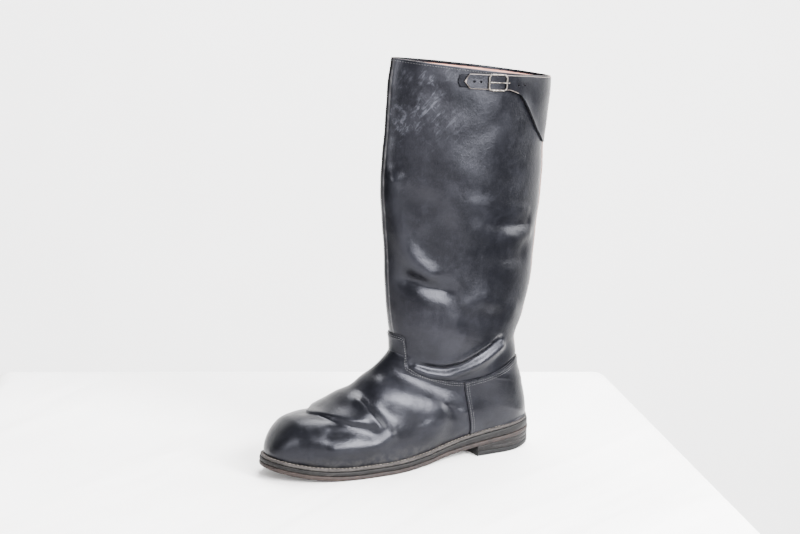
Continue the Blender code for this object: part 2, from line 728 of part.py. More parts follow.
# Materials
COLOURS = {
    # name: (red, green, blue, roughness, metallic)
    "leather": (0.035, 0.037, 0.042, 0.32, 0.0),
    "sole_leather": (0.060, 0.045, 0.036, 0.55, 0.0),
    "welt_leather": (0.120, 0.095, 0.075, 0.60, 0.0),
    "heel_rubber": (0.022, 0.022, 0.023, 0.70, 0.0),
    "insole_leather": (0.360, 0.230, 0.140, 0.65, 0.0),
    "steel": (0.300, 0.280, 0.260, 0.40, 1.0),
}


def paint(obj, key):
    red, green, blue, roughness, metallic = COLOURS[key]
    material = bpy.data.materials.new(obj.name + "_" + key)
    material.use_nodes = True
    shader = material.node_tree.nodes["Principled BSDF"]
    shader.inputs["Base Color"].default_value = (red, green, blue, 1.0)
    shader.inputs["Roughness"].default_value = roughness
    shader.inputs["Metallic"].default_value = metallic
    obj.data.materials.clear()
    obj.data.materials.append(material)


# Build
remove_old()

ROUND_EDGE = ((1.0, 0.0), (0.0, 0.25), (0.0, 0.75), (0.8, 1.0))
outsole = slab("outsole", 0.0, underside, lambda y: np.full_like(y, OUTSOLE_THICK), ROUND_EDGE)
midsole = slab("midsole", MIDSOLE_SET_BACK, lambda y: underside(y) + OUTSOLE_THICK + GAP, midsole_thick,
               ((0.9, 0.0), (0.0, 0.2), (0.0, 0.8), (0.9, 1.0)))

WELT_PROFILE = ((0.8, 0.0), (0.0, 0.3), (0.0, 0.7), (0.9, 1.0), (WELT_WIDTH, 1.0), (WELT_WIDTH, 0.0))
welt_rings = [sole_ring(WELT_SET_BACK + inset, lambda y, k=share: welt_base(y) + WELT_THICK * k)
              for inset, share in WELT_PROFILE]
welt = rings_mesh("welt", welt_rings, closed=True)

lift_top = lambda y: underside(y) - GAP
lift_base = lambda y: heel_wear(y) + TOP_PIECE_THICK + GAP
heel_lifts = breast_slab("heel_lifts", HEEL_SET_BACK, lift_base, lambda y: lift_top(y) - lift_base(y),
                         ((0.4, 0.0), (0.0, 0.2), (0.0, 0.8), (0.5, 1.0)))
heel_top_piece = breast_slab("heel_top_piece", HEEL_SET_BACK, heel_wear, lambda y: np.full_like(y, TOP_PIECE_THICK),
                             ((0.7, 0.0), (0.0, 0.2), (0.0, 0.85), (0.4, 1.0)))


def insole_inset(y):
    return along(LEDGE_STATIONS, 2, y) + UPPER_OUT - UPPER_IN + 7 * GAP


insole_rings = [sole_ring(lambda y, k=inset: insole_inset(y) + k, lambda y, k=share: feather_height(y) + INSOLE_THICK * k)
                for inset, share in ((0.0, 0.0), (0.0, 0.6), (0.8, 1.0))]
insole = rings_mesh("insole", insole_rings, closed=False)

shaft = wall("shaft", layer_points(SHAFT_IN), layer_points(SHAFT_OUT), shaft_stations)
upper = wall("upper", layer_points(UPPER_IN), layer_points(UPPER_OUT), foot_stations(seam_station))

counter = wall("counter", layer_points(COUNTER_IN), layer_points(COUNTER_OUT), foot_stations(
    lambda shape, share, side: cross_station(shape, lambda y: seam_height(np.maximum(y, 0.0)) - 0.8, share, side)))
rear = [SIDE_SEAM_TOP, (SIDE_SEAM_TOP[0] - 6, 130.0), (190.0, 130.0), (190.0, 5.0), SIDE_SEAM_FOOT]
boolean(counter, prism("rear", rear, -80.0, 80.0), "INTERSECT")

back_strip = wall("back_strip", layer_points(STRIP_IN), layer_points(STRIP_OUT), strip_stations)
strip_box = [(100.0, 80.0), (100.0, 440.0), (190.0, 440.0), (190.0, 80.0)]
boolean(back_strip, prism("strip_box", strip_box, -2.6, 2.6), "INTERSECT")

strap_panel = wall("strap_panel", raised_points(0.0), raised_points(STRAP_THICK), top_stations)
boolean(strap_panel, prism("strap_cut", outline_of(STRAP_OUTLINE), STRAP_BACK_X, 80.0), "INTERSECT")
for hole_y, hole_drop in STRAP_HOLES:
    boolean(strap_panel, strap_hole_cutter(hole_y, hole_drop), "DIFFERENCE")

chape = wall("chape", layer_points(CHAPE_IN), layer_points(CHAPE_OUT), top_stations)
boolean(chape, prism("chape_cut", outline_of(CHAPE_OUTLINE), 5.0, 80.0), "INTERSECT")

buckle_frame, buckle_prong = buckle_pieces()

PIECES = (
    (outsole, "sole_leather"), (midsole, "sole_leather"), (welt, "welt_leather"),
    (heel_lifts, "sole_leather"), (heel_top_piece, "heel_rubber"), (insole, "insole_leather"),
    (upper, "leather"), (counter, "leather"), (shaft, "leather"), (back_strip, "leather"),
    (strap_panel, "leather"), (chape, "leather"), (buckle_frame, "steel"), (buckle_prong, "steel"),
)
root = bpy.data.objects.new("officer_boot", None)
bpy.context.scene.collection.objects.link(root)
for piece, colour in PIECES:
    piece.parent = root
    paint(piece, colour)
    print(piece.name, len(piece.data.polygons), "faces")
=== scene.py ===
# %% [markdown]
# # A tall leather boot for the left foot
# A worn officer's boot: a plain vamp with a tongue tab, an outside counter, a tall soft shaft with a
# strap and buckle at the top, and a welted sole with a stacked heel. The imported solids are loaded
# first, because they fix every size. Each visible piece is then made again with finer rows, folds and
# a finish of its own, in the same place as the solid that it stands for.

# %% Load the fixed frame
import math

import bmesh
import bpy
import numpy as np
from mathutils import Matrix, Vector


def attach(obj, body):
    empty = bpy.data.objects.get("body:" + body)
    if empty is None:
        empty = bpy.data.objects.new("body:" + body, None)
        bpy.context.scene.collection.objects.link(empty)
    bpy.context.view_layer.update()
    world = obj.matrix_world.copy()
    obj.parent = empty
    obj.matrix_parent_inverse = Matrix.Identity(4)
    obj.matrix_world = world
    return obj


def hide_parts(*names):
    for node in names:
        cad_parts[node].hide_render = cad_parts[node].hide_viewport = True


MM = 0.001
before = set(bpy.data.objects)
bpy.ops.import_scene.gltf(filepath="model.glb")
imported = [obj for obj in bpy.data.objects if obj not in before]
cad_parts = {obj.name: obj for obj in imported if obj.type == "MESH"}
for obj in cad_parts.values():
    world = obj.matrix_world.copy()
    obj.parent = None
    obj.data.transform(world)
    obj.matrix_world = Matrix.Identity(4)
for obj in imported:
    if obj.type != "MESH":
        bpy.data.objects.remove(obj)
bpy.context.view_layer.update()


def add_object(name, data):
    made = bpy.data.objects.new(name, data)
    bpy.context.scene.collection.objects.link(made)
    return made


print("nodes:", sorted(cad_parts))

# %% [markdown]
# ## Camera
# A long lens a little above the collar, turned 63 degrees from the toe towards the outer side. The
# view was worked out from the outline of the sole, so the place and the lens are set as numbers and
# nothing is aimed by eye.

# %% Camera
EYE = Vector((2.0649, -1.0615, 0.7315))
VIEW_AZIMUTH, VIEW_ELEVATION = math.radians(63.01), math.radians(12.79)
LENS_MM, SENSOR_MM, CLIP_END = 103.5, 36.0, 50.0


def heading(azimuth, elevation):
    """Direction away from the boot, turned from the toe to the outer side and raised above the floor."""
    level = math.cos(elevation)
    return Vector((math.sin(azimuth) * level, -math.cos(azimuth) * level, math.sin(elevation)))


view_back = heading(VIEW_AZIMUTH, VIEW_ELEVATION)
view_right = Vector((math.cos(VIEW_AZIMUTH), math.sin(VIEW_AZIMUTH), 0.0))
view_turn = Matrix((view_right, view_back.cross(view_right), view_back)).transposed()
camera = add_object("camera", bpy.data.cameras.new("camera"))
camera.data.lens, camera.data.sensor_width, camera.data.clip_end = LENS_MM, SENSOR_MM, CLIP_END
camera.matrix_world = Matrix.Translation(EYE) @ view_turn.to_4x4()
bpy.context.scene.camera = camera
print("camera at", tuple(round(v, 3) for v in EYE))

# %% [markdown]
# ## Tables of the boot
# The same short tables as the solids use, in millimetres: half-widths of the sole, heights of its
# underside, the sections of leg and foot, and the seams as they look from the side. The toe points to
# -Y and the outer side is +X.

# %% Sole tables
TOE_Y, HEEL_Y = -166.5, 139.5
TOE_CAP_FROM, TOE_CAP_POWER = -104.0, 2.15
HEEL_CAP_FROM, HEEL_CAP_POWER = 92.0, 2.2
SOLE_STATIONS = (
    # name, y, lateral, medial
    ("toe", TOE_Y, 37.0, 45.0),
    ("toe_root", -116.0, 46.0, 48.5),
    ("ball_inner", -80.0, 51.0, 50.0),
    ("ball_outer", -48.0, 52.0, 45.5),
    ("shank", 6.0, 42.0, 31.5),
    ("waist", 46.0, 36.5, 28.5),
    ("seat", 90.0, 34.5, 32.5),
    ("heel", HEEL_Y, 34.0, 33.0),
)
SPRING_FROM, SPRING_RISE = -73.5, 11.6
SOLE_UNDERSIDE = (
    # name, y, height
    ("tread_front", SPRING_FROM, 0.0),
    ("tread_back", -28.0, 0.0),
    ("arch_start", 0.0, 1.7),
    ("arch", 23.0, 5.8),
    ("arch_top", 47.0, 9.0),
    ("breast", 64.5, 10.8),
    ("heel", HEEL_Y, 17.5),
)
MIDSOLE_STATIONS = (
    # name, y, thickness
    ("fore", -40.0, 4.3),
    ("waist", 15.0, 4.5),
    ("breast", 64.0, 6.6),
    ("heel", HEEL_Y, 7.8),
)
LEDGE_STATIONS = (
    # name, y, ledge
    ("toe", TOE_Y, 5.2),
    ("ball", -60.0, 5.0),
    ("waist", 40.0, 4.0),
    ("heel", HEEL_Y, 3.6),
)
GAP, FEATHER_GAP = 0.3, 0.6
OUTSOLE_THICK, WELT_THICK = 4.6, 3.0
WELT_WIDTH, WELT_SET_BACK, MIDSOLE_SET_BACK = 14.0, 1.4, 0.4
BREAST_Y, TOP_PIECE_THICK, HEEL_SET_BACK = 64.5, 5.0, 0.6
WEAR_FROM, WEAR_RISE = 100.0, 5.0
print("sole", HEEL_Y - TOE_Y, "mm long")

# %% Leg and foot tables
UPPER_OUT = 4.3
LEG_SECTIONS = (
    # name, front_y, front_z, back_y, back_z, lateral, medial, widest, nose, tail
    ("collar", -17.5, 423.5, 162.8, 394.5, 38.0, 36.0, 0.60, 1.65, 1.70),
    ("top_band", -21.2, 398.6, 161.0, 373.0, 38.5, 36.5, 0.59, 1.65, 1.70),
    ("calf_upper", -25.6, 345.0, 155.0, 326.0, 40.0, 38.0, 0.57, 1.65, 1.70),
    ("calf", -29.0, 300.0, 153.2, 286.0, 41.0, 39.5, 0.55, 1.65, 1.70),
    ("calf_lower", -26.6, 240.0, 146.2, 230.0, 41.5, 39.5, 0.54, 1.70, 1.70),
    ("shin", -24.0, 185.0, 140.8, 180.0, 41.0, 39.0, 0.53, 1.75, 1.75),
    ("ankle_top", -19.5, 150.0, 132.0, 144.0, 39.0, 37.5, 0.53, 1.80, 1.80),
    ("ankle", -15.8, 130.0, 120.8, 114.0, 37.0, 35.5, 0.54, 1.85, 1.85),
    ("throat", -16.6, 117.0, 121.2, 93.0, 35.0, 33.5, 0.56, 1.90, 1.95),
    ("heel_high", -21.0, 111.0, 126.4, 70.0, 33.0, 31.5, 0.60, 1.95, 2.05),
    ("heel_mid", -27.0, 106.0, 130.2, 50.0, 31.5, 30.5, 0.62, 2.00, 2.15),
)
FOOT_SECTIONS = (
    # name, top_y, top_z, feather_y, lateral, medial, widest, nose, tail
    ("heel_seat", -33.0, 101.5, 131.0, 31.0, 30.0, 0.64, 2.00, 2.20),
    ("heel_front", -42.0, 94.0, 96.0, 32.0, 30.5, 0.66, 2.05, 2.20),
    ("waist", -52.0, 88.0, 55.0, 34.5, 30.0, 0.68, 2.05, 2.10),
    ("instep", -64.0, 81.5, 14.0, 38.5, 31.5, 0.70, 2.10, 2.00),
    ("joint", -77.0, 77.0, -26.0, 42.5, 36.5, 0.70, 2.15, 2.00),
    ("ball", -90.0, 69.0, -60.0, 44.3, 41.5, 0.70, 2.20, 2.00),
    ("flex", -104.0, 62.0, -88.0, 42.6, 42.3, 0.68, 2.20, 2.00),
    ("toe_root", -117.0, 59.8, -112.0, 38.2, 40.6, 0.66, 2.20, 2.00),
    ("toe_box", -128.0, 58.0, -128.0, 33.0, 36.6, 0.66, 2.20, 2.00),
)
TOE_ROWS, TOE_POWER, AXIS_FROM = 7, 1.55, -60.0
FOOT_SEAM = (
    # name, y, z
    ("tab_top", -45.0, 140.0),
    ("tab_side", -15.5, 136.5),
    ("tab_corner", -12.0, 133.5),
    ("tab_foot", -11.0, 104.0),
    ("quarter", -1.0, 96.5),
    ("front", 11.6, 91.0),
    ("dip_front", 33.0, 85.5),
    ("dip", 47.0, 83.6),
    ("dip_back", 70.0, 86.5),
    ("rear", 102.0, 94.0),
    ("back", 125.0, 99.5),
    ("end", 160.0, 106.0),
)
SHAFT_TAIL = (
    # name, y, z
    ("front", -45.0, 116.0),
    ("front_side", -19.0, 114.0),
    ("tab_side", -11.0, 95.0),
    ("quarter", 0.0, 86.0),
    ("dip_front", 20.0, 77.0),
    ("dip", 47.0, 73.0),
    ("rear", 102.0, 82.0),
    ("back", 160.0, 92.0),
)
print(len(LEG_SECTIONS) + len(FOOT_SECTIONS), "sections")

# %% [markdown]
# ## Reading a table smoothly
# A cubic through each column, with slopes that never overshoot, gives soft lines from few rows.
# Linear reading would leave bands on glossy leather, and a spline through long point lists would be
# hard to adjust.

# %% Smooth reading
def smooth(knots, values, at):
    knots, values, at = np.asarray(knots, float), np.asarray(values, float), np.asarray(at, float)
    step = np.diff(knots)
    slope = np.diff(values) / step
    tangent = np.zeros_like(values)
    tangent[0], tangent[-1] = slope[0], slope[-1]
    product = slope[:-1] * slope[1:]
    total = np.where(product > 0, slope[:-1] + slope[1:], 1.0)
    tangent[1:-1] = np.where(product > 0, 2 * product / total, 0.0)
    span = np.clip(np.searchsorted(knots, at) - 1, 0, len(step) - 1)
    t = np.clip((at - knots[span]) / step[span], 0.0, 1.0)
    value = (1 + 2 * t) * (1 - t) ** 2 * values[span] + t * t * (3 - 2 * t) * values[span + 1]
    lean = t * (1 - t) ** 2 * tangent[span] + t * t * (t - 1) * tangent[span + 1]
    return value + lean * step[span]


def column(table, index):
    return np.array([row[index] for row in table], float)


def along(table, index, y):
    return smooth(column(table, 1), column(table, index), y)


def ease(value):
    value = np.clip(value, 0.0, 1.0)
    return value * value * (3 - 2 * value)


print("sole half-width at the ball:", float(along(SOLE_STATIONS, 2, -48.0)))

# %% [markdown]
# ## Outline and heights of the sole
# Two chains of points, outer and inner side, from toe to heel. They close round both ends by a power
# law, so toe and heel are true curves at any fineness. An inset moves the chains along their own
# normals.

# %% Sole outline
SOLE_STEPS, FEATHER_STEPS = 150, 240


def sole_loop(inset=0.0, front=TOE_Y, steps=SOLE_STEPS):
    turn = np.linspace(0.0, math.pi, steps + 1)
    whole = front <= TOE_Y
    if whole:
        y = (front + HEEL_Y) / 2 - (HEEL_Y - front) / 2 * np.cos(turn)
    else:
        y = front + (HEEL_Y - front) * np.sin(turn / 2)
    toe = np.clip((TOE_CAP_FROM - y) / (TOE_CAP_FROM - TOE_Y), 0, 1)
    heel = np.clip((y - HEEL_CAP_FROM) / (HEEL_Y - HEEL_CAP_FROM), 0, 1)
    cap = (1 - toe ** TOE_CAP_POWER) ** (1 / TOE_CAP_POWER)
    cap = cap * (1 - heel ** HEEL_CAP_POWER) ** (1 / HEEL_CAP_POWER)
    lateral = np.column_stack([along(SOLE_STATIONS, 2, y), y])
    medial = np.column_stack([-along(SOLE_STATIONS, 3, y), y])
    centre = (lateral[:, 0] + medial[:, 0]) / 2
    lateral[:, 0] = centre + (lateral[:, 0] - centre) * cap
    medial[:, 0] = centre + (medial[:, 0] - centre) * cap
    loop = np.vstack([lateral, medial[-2::-1]])
    if whole:
        loop = loop[:-1]
    tangent = np.roll(loop, -1, axis=0) - np.roll(loop, 1, axis=0)
    normal = np.column_stack([tangent[:, 1], -tangent[:, 0]])
    normal /= np.linalg.norm(normal, axis=1)[:, None]
    if not whole:
        normal[0], normal[-1] = (1, 0), (-1, 0)
    amount = inset(loop[:, 1]) if callable(inset) else np.full(len(loop), inset)
    return loop - normal * amount[:, None]


def feather_chains(grow):
    """Outer and inner chain of the line where upper and welt meet, moved outwards by some millimetres."""
    loop = sole_loop(lambda y: along(LEDGE_STATIONS, 2, y) + UPPER_OUT - grow, steps=FEATHER_STEPS)
    return loop[:FEATHER_STEPS + 1], np.vstack([loop[FEATHER_STEPS:], loop[:1]])[::-1]


def underside(y):
    spring = np.clip((SPRING_FROM - np.asarray(y, float)) / (SPRING_FROM - TOE_Y), 0, None)
    return along(SOLE_UNDERSIDE, 2, y) + SPRING_RISE * spring ** 2


def midsole_thick(y):
    return along(MIDSOLE_STATIONS, 2, y)


def welt_base(y):
    return underside(y) + OUTSOLE_THICK + midsole_thick(y) + 2 * GAP


def feather_height(y):
    return welt_base(y) + WELT_THICK + FEATHER_GAP


def heel_wear(y):
    return WEAR_RISE * np.clip((np.asarray(y, float) - WEAR_FROM) / (HEEL_Y - WEAR_FROM), 0, None) ** 2


print("outline points:", len(sole_loop()))

# %% [markdown]
# ## The form of leg and foot
# Sections fan round the ankle: level across the leg, slanted through the heel, upright at the toe. A
# station says how far down the boot a row lies, and a share says where on the section a point lies,
# from 0 at the front to 1 at the back or the sole. An offset grows the whole form, so every layer of
# leather is the same function again.

# %% Form
NUDGE, LAST_COSINE = 0.05, 0.995
TINY, NEAR = 1e-9, 1e-6


class Form:
    def __init__(self, offset):
        self.offset = offset
        self.feather, self.base = feather_chains(offset), feather_chains(0.0)
        self.tip, self.back = self.feather[0][0, 1], self.feather[0][-1, 1]
        self.base_tip, self.base_back = self.base[0][0, 1], self.base[0][-1, 1]
        rows = [list(row[1:]) for row in LEG_SECTIONS]
        for row in FOOT_SECTIONS:
            rows.append([row[1], row[2], row[3], feather_height(row[3])] + list(row[4:]))
        self.seat = len(LEG_SECTIONS)
        rows[self.seat][2:4] = [self.base_back, feather_height(self.base_back)]
        box = rows[-1]
        bulge = [box[4] - self.half(self.base, box[2], 1), box[5] - self.half(self.base, box[2], -1)]
        for turn in np.linspace(0, math.pi / 2, TOE_ROWS + 1)[1:]:
            y = box[0] - (box[0] - self.base_tip) * math.sin(turn)
            rise = max(1 - math.sin(turn) ** TOE_POWER, 0) ** (1 / TOE_POWER)
            floor_z = feather_height(y)
            top_z = floor_z + (box[1] - feather_height(box[0])) * rise
            wide = [self.half(self.base, y, side) + bulge[k] * rise for k, side in enumerate((1, -1))]
            rows.append([y, top_z, y, floor_z] + wide + box[6:])
        self.last, self.box = len(rows) - 1, len(rows) - 1 - TOE_ROWS
        self.table = np.array(rows, float)
        front, back = np.diff(self.table[:, 0:2], axis=0), np.diff(self.table[:, 2:4], axis=0)
        travel = np.linalg.norm(front, axis=1) + np.linalg.norm(back, axis=1)
        self.knots = np.concatenate([[0], np.cumsum(travel / 2)])

    def half(self, pair, y, side):
        chain = pair[0] if side > 0 else pair[1]
        return side * np.interp(y, chain[:, 1], chain[:, 0])

    def station(self, index):
        return np.interp(index, np.arange(len(self.knots)), self.knots)

    def columns_at(self, s):
        seat = self.knots[self.seat]
        values = [smooth(self.knots, self.table[:, k], s) for k in range(9)]
        for k in (2, 3):
            leg = smooth(self.knots[:self.seat + 1], self.table[:self.seat + 1, k], np.minimum(s, seat))
            foot = smooth(self.knots[self.seat:], self.table[self.seat:, k], np.maximum(s, seat))
            values[k] = np.where(s <= seat, leg, foot)
        return values

    def slope(self, k, after, before):
        """Unit direction of the front line (k is 0) or the back line (k is 2) between two stations."""
        ahead, behind = self.columns_at(after), self.columns_at(before)
        y, z = ahead[k] - behind[k], ahead[k + 1] - behind[k + 1]
        size = np.hypot(y, z) + TINY
        return y / size, z / size

    def points(self, s, share, side):
        s, share = np.asarray(s, float), np.asarray(share, float)
        seat = self.knots[self.seat]
        fy, fz, by, bz, lateral, medial, widest, nose, tail = self.columns_at(s)
        ty, tz = self.slope(0, s + NUDGE, s - NUDGE)
        fy, fz = fy + self.offset * tz, fz - self.offset * ty
        low, on_leg = np.minimum(s, seat), s <= seat
        ty, tz = self.slope(2, np.minimum(low + NUDGE, seat), low - NUDGE)
        leg_y, leg_z = by - self.offset * tz, bz + self.offset * ty
        near = np.clip((s - self.knots[self.seat - 1]) / (seat - self.knots[self.seat - 1]), 0, 1)
        leg_z = leg_z * (1 - near) + bz * near
        leg_y = leg_y * (1 - near) + (by + self.back - self.base_back) * near
        stretch = (self.back - self.tip) / (self.base_back - self.base_tip)
        base_y, foot_y = by, self.back + (by - self.base_back) * stretch
        by, bz = np.where(on_leg, leg_y, foot_y), np.where(on_leg, leg_z, feather_height(foot_y))
        at_tip = s >= self.knots[self.last] - NEAR
        fy, fz = np.where(at_tip, by, fy), np.where(at_tip, bz, fz)
        axis = np.interp(by, self.feather[0][:, 1], (self.feather[0][:, 0] + self.feather[1][:, 0]) / 2)
        axis = axis * ease((AXIS_FROM - by) / (AXIS_FROM - self.tip)) * np.where(on_leg, 0.0, 1.0)
        at_feather = self.half(self.feather, by, side)
        width = lateral if side > 0 else medial
        box, past = self.knots[self.box], self.knots[self.box + 2]
        toe = np.clip((s - box) / (past - box), 0, 1)
        at_toe = at_feather + width - self.half(self.base, base_y, side)
        wide = (width + self.offset) * (1 - toe) + at_toe * toe
        wide = np.where(at_tip, 0.0, wide - side * axis)
        end = np.clip((at_feather - side * axis) / np.maximum(wide, NEAR), 0.0, LAST_COSINE)
        end_angle = np.arccos(np.where(on_leg, 0.0, end) ** (tail / 2))
        upper = np.clip(share / 0.5, 0, 1) * math.pi / 2
        lower = np.clip((share - 0.5) / 0.5, 0, 1) * end_angle
        reach = widest * (1 - np.cos(upper) ** (2 / nose))
        below = (1 - widest) * (np.sin(lower) / np.maximum(np.sin(end_angle), NEAR)) ** (2 / tail)
        place = np.where(share <= 0.5, reach, widest + below)
        x = wide * np.where(share <= 0.5, np.sin(upper) ** (2 / nose), np.cos(lower) ** (2 / tail))
        return np.stack([axis + side * x, fy + (by - fy) * place, fz + (bz - fz) * place], axis=-1)


FORMS = {}


def form(offset):
    key = round(offset, 3)
    if key not in FORMS:
        FORMS[key] = Form(offset)
    return FORMS[key]


LEATHER = form(2.0)
SEAT_STATION = LEATHER.knots[LEATHER.seat]
print("stations from 0 to", round(LEATHER.knots[-1], 1), "mm")

# %% [markdown]
# ## Folds
# Years of walking left a deep fold over the joint of the toes, a sagging roll round the ankle and
# slanted dents in the shaft. Each is one row: how far it rises or sinks, how wide it is, how sharp,
# how much of it the inner side repeats, and its path as seen from the side. The height falls off with
# the distance from the path, so a fold is real relief that every layer of leather follows. The fold
# behind the toe is a lap: leather above its line rises and leather below it sinks, with a short step
# between them.

# %% Fold table
FOLDS = (
    # name, height, width, sharpness, share on the inner side, path of (y, z)
    ("joint ridge", 2.0, 8.0, 1.8, 0.5, ((-69, 74), (-65, 67), (-60, 59), (-55, 50))),
    ("joint hollow", -1.2, 14.0, 2.0, 0.6, ((-55, 77), (-50, 69), (-45, 60))),
    ("toe side hollow", -2.2, 11.0, 2.0, 0.7, ((-106, 50), (-84, 48), (-64, 46))),
    ("toe side roll", 2.6, 11.0, 2.0, 0.7, ((-106, 31), (-95, 32), (-77, 31), (-59, 33), (-44, 39))),
    ("quarter roll", 4.6, 26.0, 2.6, 0.6, ((-38, 80), (-26, 75), (-11, 67), (4, 59), (13, 52), (8, 44))),
    ("quarter hollow", -1.2, 13.0, 2.0, 0.6, ((20, 78), (28, 66), (32, 56))),
    ("seam puff", 2.2, 11.0, 2.0, 0.5, ((41, 71), (45, 54))),
    ("ankle roll", 3.0, 8.0, 1.9, 0.8,
     ((-3, 102), (12, 95), (30, 91.5), (47, 95.5), (63, 102), (80, 110), (94, 117))),
    ("ankle crease", -2.6, 6.0, 1.8, 0.8,
     ((-5, 108), (10, 103), (27, 99.5), (44, 103), (60, 109.5), (77, 117.5), (90, 124))),
    ("ankle lip", 1.8, 6.0, 1.9, 0.7,
     ((-7, 110), (8, 107), (24, 105.5), (41, 108.5), (58, 115), (75, 123))),
    ("shin roll", 4.6, 16.0, 2.0, 0.5,
     ((-23, 298), (-22, 282), (-20, 262), (-15, 238), (-6, 216), (6, 201))),
    ("shin pad", 5.8, 44.0, 2.0, 0.5, ((4, 145), (16, 140), (30, 143))),
    ("shin nick", -4.4, 14.0, 1.8, 0.4, ((-12, 195), (-1, 193), (11, 189), (24, 185))),
    ("shin slope", -1.4, 24.0, 2.0, 0.6, ((12, 275), (26, 247), (44, 226), (62, 208))),
    ("calf roll", 0.9, 14.0, 2.0, 0.7, ((58, 273), (84, 269), (108, 262))),
    ("back knob", 0.8, 7.0, 2.0, 0.6, ((116, 261), (124, 260))),
    ("back nick", -1.6, 9.0, 1.9, 0.6, ((72, 250), (96, 248), (126, 245))),
    ("back roll", 1.2, 10.0, 1.9, 0.6, ((94, 235), (112, 230), (129, 232))),
    ("calf hollow", -1.8, 18.0, 2.0, 0.7, ((66, 222), (92, 214), (118, 212))),
    ("low edge", 1.0, 12.0, 2.0, 0.6, ((47, 169), (62, 173), (84, 167), (108, 156))),
    ("low hollow", -1.0, 16.0, 2.0, 0.6, ((46, 150), (62, 153), (84, 147))),
)
LAPS = (
    # name, rise above, its reach, drop below, its reach, share on the inner side, path of (y, z)
    ("toe fold", 1.9, 12.0, 2.0, 8.0, 0.8,
     ((-116, 63), (-109, 62), (-97, 60), (-83, 56), (-68, 53), (-57, 49))),
)
LAP_BLEND, LAP_FADE, LAP_FRONT, LAP_START = 1.4, 0.3, 0.3, 0.35
FOLD_REACH, FOLD_STEEP, FOLD_CORE, INNER_WIDEN = 2.6, 0.9, 0.62, 1.1
WAVE_HEIGHT, WAVE_LENGTHS = 0.45, (23.0, 61.0, 47.0)
PATH_STEPS, SCAN_ROWS, SCAN_COLUMNS = 40, 420, 161
scan_rows = np.linspace(0, LEATHER.knots[-1], SCAN_ROWS)
scan_grid = np.meshgrid(scan_rows, np.linspace(0, 1, SCAN_COLUMNS), indexing="ij")
scan = {side: LEATHER.points(*scan_grid, side) for side in (1, -1)}


def on_side(y, z, side):
    """Point of the form that shows at y, z from one side."""
    grid = scan[side]
    far = (grid[..., 1] - y) ** 2 + (grid[..., 2] - z) ** 2
    return grid[np.unravel_index(np.argmin(far), far.shape)]


def fold_path(points, side):
    path = np.array([on_side(y, z, side) for y, z in points])
    length = np.concatenate([[0], np.cumsum(np.linalg.norm(np.diff(path, axis=0), axis=1))])
    at = np.linspace(0, length[-1], PATH_STEPS)
    return np.column_stack([smooth(length, path[:, k], at) for k in range(3)])


FOLD_PATHS, LAP_PATHS = [], []
for _, height, width, sharp, inner, points in FOLDS:
    FOLD_PATHS.append((height, width, sharp, fold_path(points, 1)))
    FOLD_PATHS.append((height * inner, width * INNER_WIDEN, sharp, fold_path(points, -1)))
for _, rise, above, drop, below, inner, points in LAPS:
    LAP_PATHS.append((rise, above, drop, below, fold_path(points, 1)))
    LAP_PATHS.append((rise * inner, above, drop * inner, below, fold_path(points, -1)))


def lap_height(flat):
    """Folds where the leather above laps over the leather below, with a sharp line between them."""
    total = np.zeros(len(flat))
    for rise, above, drop, below, path in LAP_PATHS:
        away = np.linalg.norm(flat[:, None, :] - path[None], axis=2)
        nearest = away.argmin(axis=1)
        run = np.gradient(path, axis=0)[nearest]
        reach = flat - path[nearest]
        over = np.sign(run[:, 1] * reach[:, 2] - run[:, 2] * reach[:, 1]) * away.min(axis=1)
        share = 0.5 + 0.5 * np.tanh(over / LAP_BLEND)
        passed = nearest / (len(path) - 1)
        fade = ease((1 - passed) / LAP_FADE) * (LAP_FRONT + (1 - LAP_FRONT) * ease(passed / LAP_START))
        lifted = rise * share * np.exp(-(over / above) ** 2)
        sunk = drop * (1 - share) * np.exp(-(over / below) ** 2)
        total += fade * (lifted - sunk)
    return total


def fold_height(points):
    """Sum of all folds and a gentle waviness, in millimetres, at points of the form."""
    flat = points.reshape(-1, 3)
    total = np.zeros(len(flat))
    for height, width, sharp, path in FOLD_PATHS:
        reach = FOLD_REACH * width
        near = np.all((flat > path.min(0) - reach) & (flat < path.max(0) + reach), axis=1)
        if near.any():
            gap = np.linalg.norm(flat[near][:, None, :] - path[None], axis=2).min(axis=1)
            total[near] += height * np.exp(-FOLD_STEEP * (gap / (FOLD_CORE * width)) ** sharp)
    x, y, z = (flat / WAVE_LENGTHS).T
    wave = np.sin(y * 5.1 + 1.3 * np.sin(z * 3.0)) * np.sin(z * 4.3 + x)
    total += lap_height(flat) + WAVE_HEIGHT * wave
    return total.reshape(points.shape[:-1])


print(len(FOLD_PATHS), "fold paths")

# %% [markdown]
# ## Skins and walls
# A skin is a grid of points on the folded form. Its columns run from the back seam round the inner
# side, over the front and back along the outer side, so one grid covers the whole boot. A wall joins
# an outer and an inner skin along their edges. Edges are rounded by letting the outer skin sink a
# little where it ends.

# %% Skins
STEP_DOWN, STEP_ROUND, AT_TIP = 0.4, 0.002, 1e-3
SKIVE_REACH, SEAT_BAND, SOFT_FROM, FEATHER_FROM = 6.0, 26.0, 0.3, 0.985


